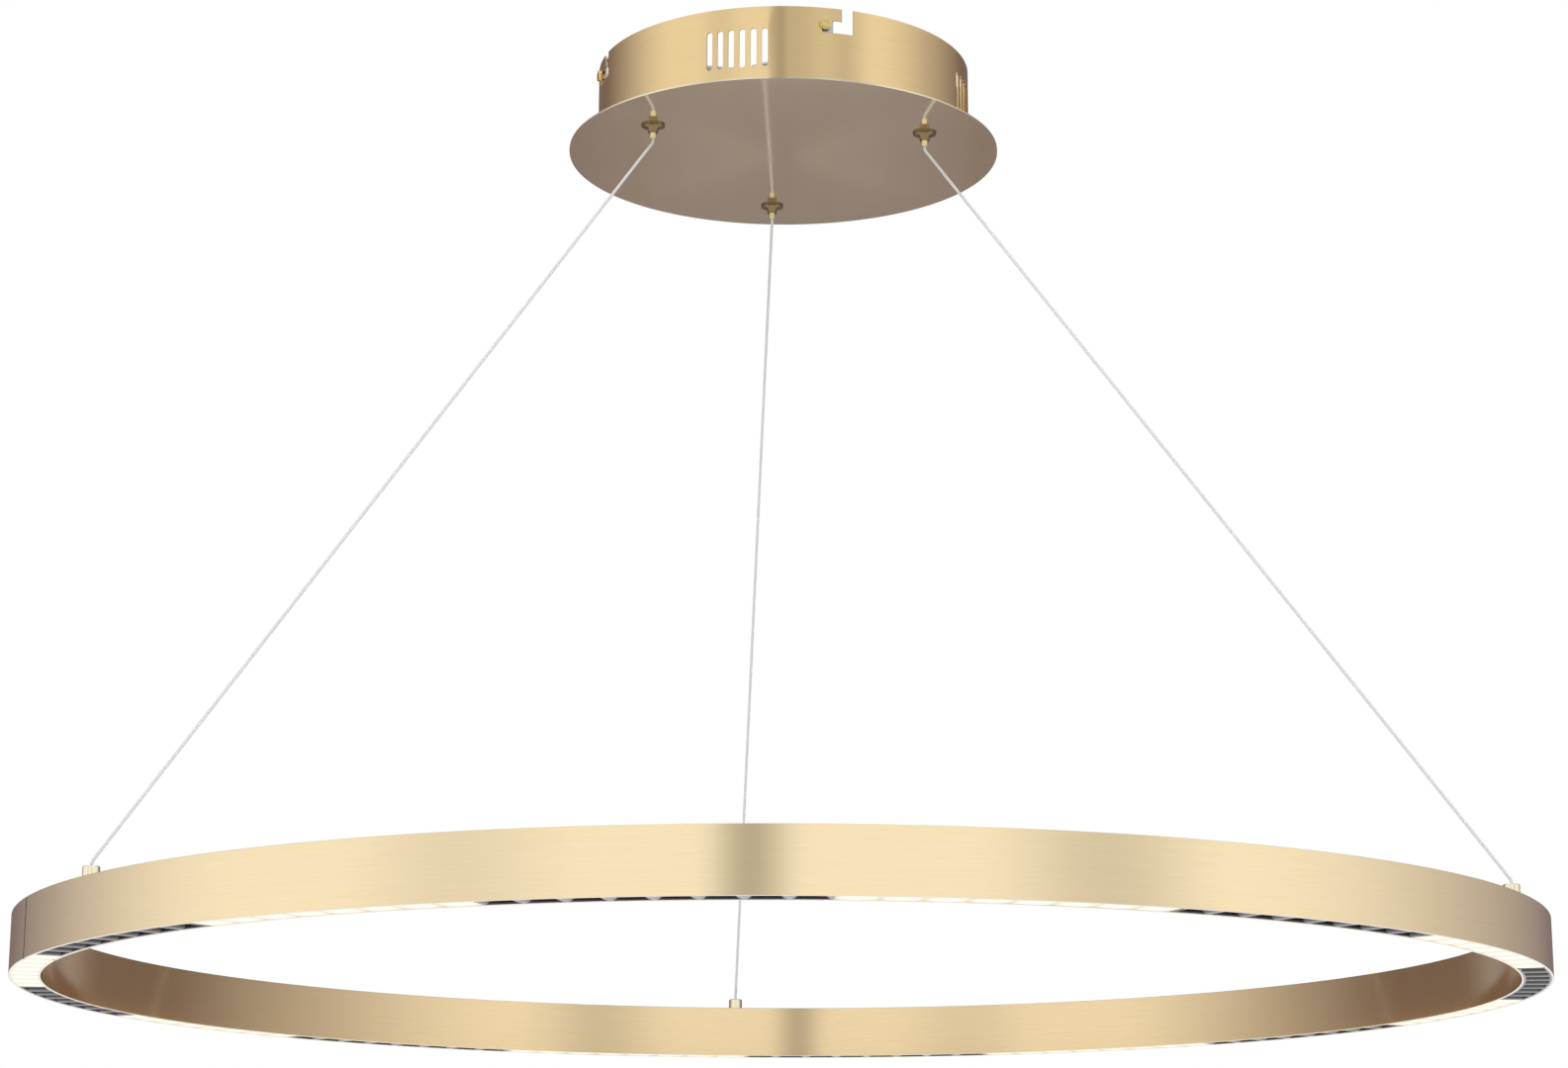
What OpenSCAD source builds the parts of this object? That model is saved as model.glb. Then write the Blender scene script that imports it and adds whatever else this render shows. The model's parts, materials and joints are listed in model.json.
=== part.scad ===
// Ring chandelier: a hollow brass-coloured band with alternating louvre and opal light modules,
// hung on three cables from a round ceiling canopy.
// The origin is on the vertical axis, in the ceiling plane. +Z is up. Azimuth 0 faces -Y, and
// azimuths grow towards +X.

/* [Ring band] */
// Outer diameter of the ring
ring_d = 1000; // [700:10:1300]
// Radial width of the band
ring_w = 20; // [19:0.5:26]
// Height of the band
ring_h = 38; // [36:1:60]
// Thickness of the band's two side walls
ring_wall = 1.6; // [1.2:0.1:1.9]
// Thickness of the band's top web
ring_top_t = 2.5; // [2:0.1:4]
// Thickness of the inner web that carries the light boards
ring_web_t = 1.5; // [1:0.1:3]
// Depth of the light chamber below the inner web
light_depth = 15.5; // [15.5:0.1:17]
// Width of the seam where the rolled band closes
seam_gap = 0.6; // [0.3:0.1:1.5]
// Azimuth of the seam
seam_turn = -66.7; // [-80:0.1:-66]

/* [Light modules] */
// Azimuth of the boundary between two modules nearest to the front
module_turn = 3.3; // [2:0.1:4.5]
// Gap between neighbouring modules
module_gap = 0.4; // [0.2:0.1:1]
// Gap between a module and each side wall
module_fit = 0.2; // [0.1:0.05:0.3]
// How far the modules' faces sit above the band's bottom edge
face_recess = 0.3; // [0.2:0.1:2]
// Thickness of a louvre's outer rims
louvre_rim = 0.9; // [0.6:0.1:1.4]
// Width of a louvre cell at its deep end
cell_throat = 8.6; // [6:0.1:9.5]
// Radius of the rounded bars between louvre cells
bar_r = 7; // [5:0.5:7.5]
// Thickness of the opal diffuser's face
opal_t = 1.8; // [1.2:0.1:2.4]
// Crown of each pillowed diffuser segment
opal_crown = 0.45; // [0.2:0.05:0.6]
// Thickness of the light boards
board_t = 1.6; // [1:0.1:2]

/* [Hanging] */
// Height from the canopy disc's underside to the band's top edge
hang_drop = 549; // [500:1:900]
// Radius of the circle of cable grippers on the canopy disc
gripper_circle_r = 108; // [102:1:110]
// Azimuth by which the three hanging points are turned
hang_turn = 4.3; // [2:0.1:8]
// Outer diameter of the sleeved cable
cable_d = 2.0; // [1.4:0.1:2.2]
// Diameter of the cable anchors on the ring
anchor_d = 10.4; // [9:0.1:14]
// Height of the cable anchors above the ring
anchor_h = 7.5; // [5:0.5:14]

/* [Canopy] */
// Outer diameter of the canopy drum
drum_d = 260; // [258:1:275]
// Height of the canopy drum
drum_h = 58; // [56:1:80]
// Wall thickness of the canopy drum
drum_t = 1.0; // [0.8:0.1:1.5]
// Width of the drum's inward bottom flange
drum_flange = 9; // [6:0.5:10]
// Diameter of the canopy disc
disc_d = 300; // [290:1:330]
// Thickness of the canopy disc
disc_t = 1.2; // [1:0.1:2]
// Gap between the drum's top edge and the ceiling
ceiling_gap = 0.5; // [0.3:0.1:2]
// Azimuth of the centre of the front vent group
vent_turn = -14; // [-16:0.5:-12]
// Width of a vent slot
vent_w = 4; // [3:0.1:4.5]
// Height of a vent slot
vent_h = 27.3; // [20:0.1:34]
// Spacing of the vent slots round the drum
vent_pitch = 7.7; // [7:0.1:8.5]
// Azimuth of the front bayonet screw
bayonet_turn = 12.45; // [11:0.05:14]
// Turning travel of the bayonet, measured round the drum
bayonet_travel = 15.5; // [12:0.1:17]
// Width of the bayonet slot's upright leg
leg_w = 7.7; // [7:0.1:9]
// Height of the bayonet slot's level leg
leg_h = 8.8; // [8:0.1:11]
// Depth of the bayonet screws below the drum's top edge
bayonet_depth = 11; // [10:0.1:14]

/* [Ceiling bracket] */
// Thickness of the bracket's steel
bracket_t = 1.5; // [1.2:0.1:2.5]
// Width of the bracket's arms
arm_w = 16; // [14:0.5:18]
// Width of the bracket's down-turned tabs
tab_w = 11.5; // [9:0.5:14]
// Diameter of the bracket's hub
hub_d = 60; // [50:1:70]
// Diameter of the hole for the mains cable
mains_hole_d = 20; // [16:1:24]
// Diameter of the circle of ceiling screws
ceiling_pcd = 120; // [100:1:140]
// Diameter of the ceiling screw holes
ceiling_hole_d = 4.5; // [4:0.1:6]

/* [Hidden] */
$fn = 96;

brass = [0.86, 0.72, 0.47];
polished_brass = [0.93, 0.76, 0.38];
zinc = [0.75, 0.76, 0.78];
dark_plastic = [0.16, 0.15, 0.15];
white_plastic = [0.93, 0.93, 0.9];
opal = [1.0, 0.98, 0.9];
board_white = [0.9, 0.92, 0.9];
sleeve = [0.82, 0.84, 0.87];
spring_steel = [0.6, 0.62, 0.65];
film_black = [0.15, 0.15, 0.17];
circuit_green = [0.2, 0.45, 0.25];
lead_red = [0.75, 0.2, 0.16];
clear_plastic = [0.85, 0.88, 0.92];

eps = 0.05;
near_fit = 0.1;
body_gap = 0.3;

// Heights in the canopy, from the ceiling down
drum_top_z = -ceiling_gap;
disc_top_z = drum_top_z - drum_h;
disc_bottom_z = disc_top_z - disc_t;
drum_r = drum_d / 2;
drum_inner_r = drum_r - drum_t;
cut_depth = 8;

// Heights in the ring, from its bottom edge up
ring_top_z = disc_bottom_z - hang_drop;
ring_bottom_z = ring_top_z - ring_h;
ring_r = ring_d / 2;
ring_mid_r = ring_r - ring_w / 2;
channel_w = ring_w - 2 * ring_wall;
web_bottom_z = ring_bottom_z + light_depth;
web_top_z = web_bottom_z + ring_web_t;
chamber_top_z = ring_top_z - ring_top_t;
board_z = web_bottom_z - board_t;
face_z = ring_bottom_z + face_recess;

// The modules
pairs = 8;
cells = 8;
module_deg = 360 / (2 * pairs);
cell_deg = module_deg / cells;
module_w = channel_w - 2 * module_fit;
gap_deg = module_gap / ring_mid_r * 180 / PI;
cell_pitch = 2 * ring_mid_r * sin(cell_deg / 2);
led_size = 3;
led_t = 1;
lens_t = 1;
lens_gap = 0.5;
lens_r = 3.6;
lens_drop = 1.6;
lens_rest_z = board_z - led_t - lens_t - lens_gap;
bar_crest = 1.2;
end_wall = 1.0;
end_wall_deg = end_wall / ring_mid_r * 180 / PI;
opal_side = 1.2;
board_screw_r = 1;
board_screw_az = [for (m = [0:2 * pairs - 1], side = [-1, 1])
    module_turn + (m + 0.5) * module_deg + side * (module_deg / 2 - cell_deg)];
bead_z = face_z + 7.1;
bead_h = 1.0;
bead_out = 0.3;
groove_depth = 0.5;
groove_h = bead_h + 2 * near_fit;

// Bayonet screws
screw_r = 2;
screw_head_r = 4.6;
screw_head_t = 2.4;
bayonet_count = 4;
bayonet_az = [for (i = [0:bayonet_count - 1]) bayonet_turn + 360 / bayonet_count * i];
bayonet_z = drum_top_z - bayonet_depth;
leg_top_z = bayonet_z + screw_r + body_gap;
tab_r = drum_inner_r - 2 * body_gap;
tab_drop = bayonet_depth + ceiling_gap + tab_w / 2;
tapped_fit = 0.05;
earth_r = (hub_d / 2 + mains_hole_d / 2) / 2;
earth_screw_r = 2;
earth_az = bayonet_turn + 45;
bend_step = 0.3;

// Hanging points
hang_az = [hang_turn - 60, hang_turn + 60, hang_turn + 180];

// Gripper, with heights from the disc's underside
flange_r = 8.1;
flange_t = 1.0;
bell_top_r = 6.4;
bell_low_r = 3.4;
bell_h = 4.6;
bell_low_z = -flange_t - bell_h;
flange_chamfer = 0.3;
stem_r = 5;
tip_r = 2.25;
tip_reach = 4.2;
tip_chamfer = 0.25;
tip_low_z = bell_low_z - tip_reach;
cable_bore_r = cable_d / 2 + body_gap;
cage_low_z = -4.2;
cage_top_z = 5;
cage_r = 2.62;
cage_shoulder_r = 3.4;
cage_rim_t = 0.6;
ball_r = 0.95;
ball_z = 1.2;
ball_circle_r = cable_d / 2 + ball_r + near_fit;
cone_low_z = -4.3;
cone_low_r = 2.75;
cone_top_z = 6.5;
cone_top_r = 3.9;
cap_t = 2.5;
spring_l = 6.9;
spring_wire_d = 0.7;
spring_turns = 5;
spring_r = 3.05;
spring_seat_gap = 0.02;
stem_top = cage_top_z + cage_rim_t + spring_l + cap_t;
nut_r = 8;
nut_t = 4;
washer_r = nut_r + 0.6;
washer_t = 1.2;

// Cable routes
bend_r = 5;
lead_in = 1;
cable_top_z = disc_bottom_z + tip_low_z;
cable_low_z = ring_top_z + anchor_h;
tail_bend_r = 7;
tail_lead = 0.5;
tail_z = disc_bottom_z + stem_top + cap_t + tail_lead + tail_bend_r;

// Driver and terminal block, on the disc in the rear half of the canopy
driver_l = 128;
driver_w = 42;
driver_h = 31;
driver_wall = 2;
driver_y = 38;
driver_screw_r = 1.5;
driver_screw_x = driver_l / 2 + 5;
driver_ear_t = 2;
driver_ear_l = 10;
tail_hole_y = 8;
tail_hole_x = 30;
tail_inside = driver_wall + 1;
terminal_l = 30;
terminal_w = 16;
terminal_h = 14;
terminal_x = 0;
terminal_y = 82;
terminal_screw_r = 1.3;
lead_d = 2.2;
lead_x = [-9, -3, 3, 9];
lead_hole_z = 9;
lead_end_gap = 2;

// Anchors and cable ends in the ring
stud_r = 3;
stud_drop = 3;
anchor_chamfer = 0.4;
anchor_neck = 1.5;
stud_end_z = chamber_top_z - stud_drop;
ferrule_r = 2.4;
ferrule_h = 5;
bus_w = 1.8;
bus_t = 1.0;
bus_drop_d = 1.2;
bus_offset = 4;
bus_end_deg = 2;
bus_z = web_top_z;
bus_hole_r = bus_drop_d / 2 + 0.4;

// Joint bar across the seam
joint_bar_deg = 8;
joint_bar_h = 8;
joint_screw_az = [for (k = [-0.36, -0.14, 0.14, 0.36]) seam_turn + k * joint_bar_deg];
joint_screw_l = 9;
joint_screw_r = 1.5;
joint_head_r = 2.9;
joint_head_t = 1.6;
joint_recess_l = 3.2;
joint_recess_w = 0.7;
joint_recess_depth = 0.9;

// Moves a shape made for the front to an azimuth, at a radius
module at_azimuth(azimuth, radius = 0)
    rotate([0, 0, azimuth]) translate([0, -radius, 0]) children();

// A stretch of a ring, made from a section of [radius, height] points
module ring_stretch(from_azimuth, to_azimuth)
    rotate([0, 0, from_azimuth - 90])
        rotate_extrude(angle = to_azimuth - from_azimuth, $fn = 360) children();

// A cylinder that runs outwards along the radius, at the front
module radial_pin(r, length, $fn = 48)
    rotate([90, 0, 0]) cylinder(r = r, h = length);

function unit(v) = v / norm(v);
function radial_dir(azimuth) = [sin(azimuth), -cos(azimuth), 0];
function at_polar(azimuth, radius, z) = radius * radial_dir(azimuth) + [0, 0, z];

// Directions along a path, and side vectors carried along it with the least twist
function path_dirs(p) =
    [for (i = [0:len(p) - 1]) unit(p[min(i + 1, len(p) - 1)] - p[max(i - 1, 0)])];
function side_start(t) = unit(cross(t, abs(t.z) < 0.9 ? [0, 0, 1] : [1, 0, 0]));
function carried(side, t) = unit(side - (side * t) * t);
function path_sides(dirs) =
    [for (i = 0, side = side_start(dirs[0]); i < len(dirs);
        i = i + 1, side = i < len(dirs) ? carried(side, dirs[i]) : side) side];

// The corners of a path, each replaced by an arc of the given radius
function corner_arc(a, b, c, r, steps) =
    let (
        into = unit(b - a),
        out = unit(c - b),
        turn = acos(max(-1, min(1, into * out))),
        back = r * tan(turn / 2),
        axis_in = unit(out - (out * into) * into)
    )
    [for (i = [0:steps]) let (s = turn * i / steps)
        b - back * into + r * sin(s) * into + r * (1 - cos(s)) * axis_in];
function rounded_path(p, r, steps = 5) = concat(
    [p[0]],
    [for (i = [1:len(p) - 2]) each corner_arc(p[i - 1], p[i], p[i + 1], r, steps)],
    [p[len(p) - 1]]
);

// A closed round tube of the given diameter along a path
module tube(path, d, sides = 8) {
    dirs = path_dirs(path);
    first = path_sides(dirs);
    last = len(path) - 1;
    points = [for (i = [0:last]) for (k = [0:sides - 1])
        let (a = 360 * k / sides, side = first[i], up = cross(dirs[i], side))
        path[i] + d / 2 * (cos(a) * side + sin(a) * up)];
    walls = [for (i = [0:last - 1]) for (k = [0:sides - 1])
        let (n = (k + 1) % sides, a = i * sides + k, b = i * sides + n)
        each [[a, b, a + sides], [b, b + sides, a + sides]]];
    caps = [
        [for (k = [sides - 1:-1:0]) k],
        [for (k = [0:sides - 1]) last * sides + k]
    ];
    polyhedron(points, concat(caps, walls), convexity = 10);
}

module ceiling_bracket() color(zinc) {
    difference() {
        union() {
            translate([0, 0, -bracket_t]) linear_extrude(bracket_t) bracket_plate();
            for (azimuth = bayonet_az) at_azimuth(azimuth) bracket_tab();
        }
        for (azimuth = bayonet_az) at_azimuth(azimuth)
            translate([0, -tab_r + bracket_t + eps, bayonet_z])
                radial_pin(screw_r + tapped_fit, bracket_t + 2 * eps);
    }
}

// The outline of the bracket's flat plate: hub, arms and their holes
module bracket_plate() difference() {
    union() {
        circle(d = hub_d);
        for (azimuth = bayonet_az) rotate(azimuth)
            translate([-arm_w / 2, -tab_r + bend_step]) square([arm_w, tab_r - bend_step - hub_d / 4]);
    }
    circle(d = mains_hole_d);
    for (azimuth = bayonet_az) rotate(azimuth) translate([0, -ceiling_pcd / 2]) circle(d = ceiling_hole_d);
    rotate(earth_az) translate([0, -earth_r]) circle(r = earth_screw_r + tapped_fit);
}

// A tab bent down from the end of an arm, at the front
module bracket_tab()
    translate([-tab_w / 2, -tab_r, -tab_drop]) cube([tab_w, bracket_t, tab_drop - bend_step]);

module bayonet_screws() color(polished_brass)
    for (azimuth = bayonet_az) at_azimuth(azimuth) translate([0, 0, bayonet_z]) bayonet_screw();

// A pan-head screw with a rim and a cross recess, its head outside the drum
module bayonet_screw() {
    head_y = -drum_r - body_gap;
    rim_t = 0.8;
    crown_r = screw_head_r - 0.9;
    recess_depth = 1.3;
    recess_w = 1.0;
    recess_l = 4.6;
    recess_turn = 20;
    shank_end = 2;
    difference() {
        union() {
            translate([0, head_y, 0]) radial_pin(screw_head_r, rim_t);
            translate([0, head_y - rim_t + eps, 0]) radial_pin(crown_r, screw_head_t - rim_t);
            translate([0, -tab_r + bracket_t + shank_end, 0])
                radial_pin(screw_r, drum_r - tab_r + bracket_t + shank_end + body_gap + eps);
        }
        for (turn = [0, 90])
            translate([0, head_y - screw_head_t + recess_depth / 2 - eps, 0])
                rotate([0, turn + recess_turn, 0])
                    cube([recess_l, recess_depth + 2 * eps, recess_w], center = true);
    }
}

module earth_screw() color(polished_brass) at_azimuth(earth_az, earth_r) {
    earth_head_r = 3.8;
    earth_head_t = 2;
    earth_length = 6;
    slot_w = 1;
    slot_depth = 1;
    difference() {
        union() {
            translate([0, 0, -bracket_t - earth_head_t]) cylinder(r = earth_head_r, h = earth_head_t);
            translate([0, 0, -bracket_t - eps]) cylinder(r = earth_screw_r, h = bracket_t);
            translate([0, 0, -bracket_t - earth_length]) cylinder(r = earth_screw_r, h = earth_length);
        }
        translate([-earth_head_r, -slot_w / 2, -bracket_t - earth_length - eps])
            cube([2 * earth_head_r, slot_w, slot_depth + eps]);
    }
}

module canopy_drum() color(brass) difference() {
    translate([0, 0, disc_top_z]) rotate_extrude($fn = 360) polygon([
        [drum_inner_r - drum_flange, 0],
        [drum_r, 0],
        [drum_r, drum_h],
        [drum_inner_r, drum_h],
        [drum_inner_r, drum_t],
        [drum_inner_r - drum_flange, drum_t]
    ]);
    for (group = [0:bayonet_count - 1]) at_azimuth(360 / bayonet_count * group) {
        for (i = [-2.5:1:2.5]) at_azimuth(vent_turn + i * vent_pitch / drum_r * 180 / PI) vent_cut();
        bayonet_cut();
    }
}

// Cuts a flat outline through the drum's wall at the front
module wall_cut()
    translate([0, -drum_r + cut_depth - drum_t, 0]) rotate([90, 0, 0]) linear_extrude(cut_depth) children();

// One vent slot with round ends
module vent_cut() wall_cut() {
    mid_z = disc_top_z + drum_h / 2;
    run = vent_h / 2 - vent_w / 2;
    translate([0, mid_z]) square([vent_w, 2 * run], center = true);
    for (side = [-1, 1]) translate([0, mid_z + side * run]) circle(d = vent_w, $fn = 48);
}

// One L-shaped bayonet slot: an upright leg open at the top, and a level leg that ends past the screw
module bayonet_cut() at_azimuth(bayonet_turn) wall_cut() polygon([
    [-screw_r - body_gap, leg_top_z - leg_h],
    [bayonet_travel + leg_w / 2, leg_top_z - leg_h],
    [bayonet_travel + leg_w / 2, 1],
    [bayonet_travel - leg_w / 2, 1],
    [bayonet_travel - leg_w / 2, leg_top_z],
    [-screw_r - body_gap, leg_top_z]
]);

module canopy_disc() color(brass) difference() {
    translate([0, 0, disc_bottom_z]) cylinder(d = disc_d, h = disc_t, $fn = 360);
    for (azimuth = hang_az) at_azimuth(azimuth, gripper_circle_r)
        translate([0, 0, disc_bottom_z - eps]) cylinder(r = stem_r + near_fit, h = disc_t + 2 * eps);
    for (side = [-1, 1]) translate([side * driver_screw_x, driver_y, disc_bottom_z - eps])
        cylinder(r = driver_screw_r + near_fit, h = disc_t + 2 * eps);
}

module driver_case() color(white_plastic) translate([0, driver_y, disc_top_z]) difference() {
    union() {
        translate([-driver_l / 2, -driver_w / 2, 0]) cube([driver_l, driver_w, driver_h - driver_wall]);
        for (side = [-1, 1]) translate([side * driver_screw_x - driver_ear_l / 2, -driver_ear_l / 2, 0])
            cube([driver_ear_l, driver_ear_l, driver_ear_t]);
    }
    translate([-driver_l / 2 + driver_wall, -driver_w / 2 + driver_wall, driver_wall])
        cube([driver_l - 2 * driver_wall, driver_w - 2 * driver_wall, driver_h]);
    for (side = [-1, 1]) translate([side * driver_screw_x, 0, -eps])
        cylinder(r = driver_screw_r + near_fit, h = driver_ear_t + 2 * eps);
    for (x = lead_x) translate([x, driver_w / 2 + eps, lead_hole_z])
        radial_pin(lead_d / 2 + near_fit, driver_wall + 2 * eps);
    translate([tail_hole_x, driver_w / 2 + eps, tail_z - disc_top_z])
        radial_pin(cable_d / 2 + near_fit, driver_wall + 2 * eps);
    for (side = [-1, 1]) translate([side * (driver_l / 2 + eps), tail_hole_y, tail_z - disc_top_z])
        rotate([0, 0, -90 * side]) radial_pin(cable_d / 2 + near_fit, driver_wall + 2 * eps);
}

module driver_cover() color(white_plastic) translate([0, driver_y, disc_top_z + driver_h - driver_wall]) {
    lip_t = 1.2;
    lip_h = 3;
    fit = 0.15;
    lip_l = driver_l - 2 * driver_wall - 2 * fit;
    lip_w = driver_w - 2 * driver_wall - 2 * fit;
    translate([-driver_l / 2, -driver_w / 2, 0]) cube([driver_l, driver_w, driver_wall]);
    difference() {
        translate([-lip_l / 2, -lip_w / 2, -lip_h]) cube([lip_l, lip_w, lip_h + eps]);
        translate([-lip_l / 2 + lip_t, -lip_w / 2 + lip_t, -lip_h - eps])
            cube([lip_l - 2 * lip_t, lip_w - 2 * lip_t, lip_h + 3 * eps]);
    }
}

// The driver's circuit board on four feet, with its transformer, capacitors and choke
module driver_board() color(circuit_green) translate([0, driver_y, disc_top_z + driver_wall]) {
    board_l = driver_l - 2 * driver_wall - 1;
    board_w = driver_w - 2 * driver_wall - 1;
    foot_h = 2;
    foot_r = 2;
    foot_inset = 4;
    part_z = foot_h + board_t - eps;
    transformer = [22, 18, 14];
    choke = [10, 16, 11];
    capacitor_x = [-42, -28, 26];
    capacitor_r = 5;
    capacitor_h = 13;
    translate([-board_l / 2, -board_w / 2, foot_h]) cube([board_l, board_w, board_t]);
    for (x = [-1, 1], y = [-1, 1])
        translate([x * (board_l / 2 - foot_inset), y * (board_w / 2 - foot_inset), 0])
            cylinder(r = foot_r, h = foot_h + eps);
    translate([-transformer.x / 2, -transformer.y / 2, part_z]) cube(transformer);
    translate([board_l / 3 - choke.x / 2, -choke.y / 2, part_z]) cube(choke);
    for (x = capacitor_x) translate([x, 0, part_z]) cylinder(r = capacitor_r, h = capacitor_h);
}

module driver_screws() color(zinc)
    for (side = [-1, 1]) translate([side * driver_screw_x, driver_y, 0]) {
        head_r = 2.8;
        head_t = 1.8;
        seat_z = disc_top_z + driver_ear_t;
        translate([0, 0, seat_z]) cylinder(r = head_r, h = head_t);
        translate([0, 0, disc_bottom_z + near_fit])
            cylinder(r = driver_screw_r, h = seat_z - disc_bottom_z);
    }

// Four short leads from the driver's side to the terminal block
module driver_leads() color(lead_red)
    for (x = lead_x) {
        start_y = driver_y + driver_w / 2 - tail_inside;
        end_y = terminal_y - lead_end_gap;
        translate([x, end_y, disc_top_z + lead_hole_z]) radial_pin(lead_d / 2, end_y - start_y);
    }

module terminal_block() color(white_plastic) translate([terminal_x, terminal_y, disc_top_z]) difference() {
    translate([-terminal_l / 2, -terminal_w / 2, 0]) cube([terminal_l, terminal_w, terminal_h]);
    for (x = lead_x) {
        translate([x, terminal_w / 2 + eps, lead_hole_z])
            radial_pin(lead_d / 2 + near_fit, terminal_w + 2 * eps);
        for (y = [-1, 1]) translate([x, y * terminal_w / 4, lead_hole_z + lead_d / 2 - 0.5])
            cylinder(r = terminal_screw_r + near_fit, h = terminal_h);
    }
}

module terminal_screws() color(zinc)
    for (x = lead_x, y = [-1, 1])
        translate([terminal_x + x, terminal_y + y * terminal_w / 4, disc_top_z + lead_hole_z + lead_d / 2])
            difference() {
                screw_h = 2.4;
                slot_w = 0.5;
                slot_depth = 0.6;
                cylinder(r = terminal_screw_r, h = screw_h);
                translate([-terminal_screw_r, -slot_w / 2, screw_h - slot_depth])
                    cube([2 * terminal_screw_r, slot_w, slot_depth + eps]);
            }

// Each tail runs up through its gripper, level past the driver, and square into the driver's case
module cable_tails() color(sleeve)
    for (i = [0:2]) tube(rounded_path(tail_corners(i), tail_bend_r), cable_d);

function tail_end(i) = [
    [-driver_l / 2 + tail_inside, driver_y + tail_hole_y],
    [driver_l / 2 - tail_inside, driver_y + tail_hole_y],
    [tail_hole_x, driver_y + driver_w / 2 - tail_inside]
][i];
function tail_corners(i) =
    let (
        gripper = at_polar(hang_az[i], gripper_circle_r, 0),
        goal = tail_end(i),
        corner = i == 2 ? [goal.x, gripper.y] : [gripper.x, goal.y]
    )
    [
        [gripper.x, gripper.y, cable_top_z],
        [gripper.x, gripper.y, tail_z],
        [corner.x, corner.y, tail_z],
        [goal.x, goal.y, tail_z]
    ];

module gripper_body(i) color(polished_brass) at_azimuth(hang_az[i], gripper_circle_r)
    translate([0, 0, disc_bottom_z]) rotate_extrude() gripper_section();

// Half section of a gripper: flange, concave bell and threaded stem round the clamping cone
module gripper_section() {
    bell_steps = 8;
    sweep = [for (k = [0:bell_steps]) let (a = 90 * k / bell_steps)
        [bell_top_r - (bell_top_r - bell_low_r) * sin(a), -flange_t - bell_h * (1 - cos(a))]];
    polygon(concat(
        [[stem_r, 0], [flange_r - flange_chamfer, 0], [flange_r, -flange_chamfer], [flange_r, -flange_t]],
        sweep,
        [
            [tip_r + near_fit, bell_low_z],
            [tip_r + near_fit, cone_low_z],
            [cone_low_r, cone_low_z],
            [cone_top_r, cone_top_z],
            [cone_top_r, stem_top],
            [stem_r, stem_top]
        ]
    ));
}

module gripper_nuts() color(polished_brass)
    for (azimuth = hang_az) at_azimuth(azimuth, gripper_circle_r)
        translate([0, 0, disc_bottom_z + disc_t + washer_t]) difference() {
            cylinder(r = nut_r, h = nut_t, $fn = 6);
            translate([0, 0, -eps]) cylinder(r = stem_r + tapped_fit, h = nut_t + 2 * eps, $fn = 48);
        }

module gripper_washers() color(zinc)
    for (azimuth = hang_az) at_azimuth(azimuth, gripper_circle_r)
        translate([0, 0, disc_top_z]) difference() {
            cylinder(r = washer_r, h = washer_t);
            translate([0, 0, -eps]) cylinder(r = stem_r + near_fit, h = washer_t + 2 * eps);
        }

// A plug in the stem's top that the spring pushes on, with a hole for the cable
module gripper_caps() color(polished_brass)
    for (azimuth = hang_az) at_azimuth(azimuth, gripper_circle_r)
        translate([0, 0, disc_bottom_z + stem_top]) difference() {
            union() {
                cylinder(r = stem_r, h = cap_t);
                translate([0, 0, -cap_t]) cylinder(r = cone_top_r - tapped_fit, h = cap_t + eps);
            }
            translate([0, 0, -cap_t - eps]) cylinder(r = cable_bore_r, h = 2 * cap_t + 3 * eps);
        }

// The release tip and its ball cage are one turned piece
module release_tip(i) color(polished_brass) at_azimuth(hang_az[i], gripper_circle_r)
    translate([0, 0, disc_bottom_z]) difference() {
        rotate_extrude() polygon([
            [cable_bore_r, tip_low_z],
            [tip_r - tip_chamfer, tip_low_z],
            [tip_r, tip_low_z + tip_chamfer],
            [tip_r, cage_low_z],
            [cage_r, cage_low_z],
            [cage_r, cage_top_z - 1],
            [cage_shoulder_r, cage_top_z],
            [cage_shoulder_r, cage_top_z + cage_rim_t],
            [cable_bore_r, cage_top_z + cage_rim_t]
        ]);
        for (k = [0:2]) rotate([0, 0, 120 * k]) translate([0, 0, ball_z])
            radial_pin(ball_r + near_fit, cage_shoulder_r + 1);
    }

module gripper_balls(i) color(spring_steel) at_azimuth(hang_az[i], gripper_circle_r)
    for (k = [0:2]) rotate([0, 0, 120 * k])
        translate([0, -ball_circle_r, disc_bottom_z + ball_z]) sphere(r = ball_r, $fn = 24);

// The spring between the cage's shoulder and the cap
module gripper_spring(i) color(spring_steel) {
    low = cage_top_z + cage_rim_t + spring_wire_d / 2 + spring_seat_gap;
    high = stem_top - cap_t - spring_wire_d / 2 - spring_seat_gap;
    steps = spring_turns * 8;
    center = at_polar(hang_az[i], gripper_circle_r, disc_bottom_z);
    tube([for (k = [0:steps]) let (a = 360 * spring_turns * k / steps)
        center + [spring_r * cos(a), spring_r * sin(a), low + (high - low) * k / steps]],
        spring_wire_d, 6);
}

// A taut cable leaves its gripper straight down, bends, runs straight, and enters its anchor straight
module hanging_cable(i) color(sleeve) tube(cable_route(i), cable_d);

function cable_route(i) =
    let (
        top = at_polar(hang_az[i], gripper_circle_r, cable_top_z),
        low = at_polar(hang_az[i], ring_mid_r, cable_low_z)
    )
    rounded_path([top, top - [0, 0, lead_in + cable_bend(i)], low + [0, 0, lead_in + cable_bend(i)], low],
        bend_r, 6);
function cable_bend(i) =
    bend_r * tan(atan((ring_mid_r - gripper_circle_r) / (cable_top_z - cable_low_z)) / 2);

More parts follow.
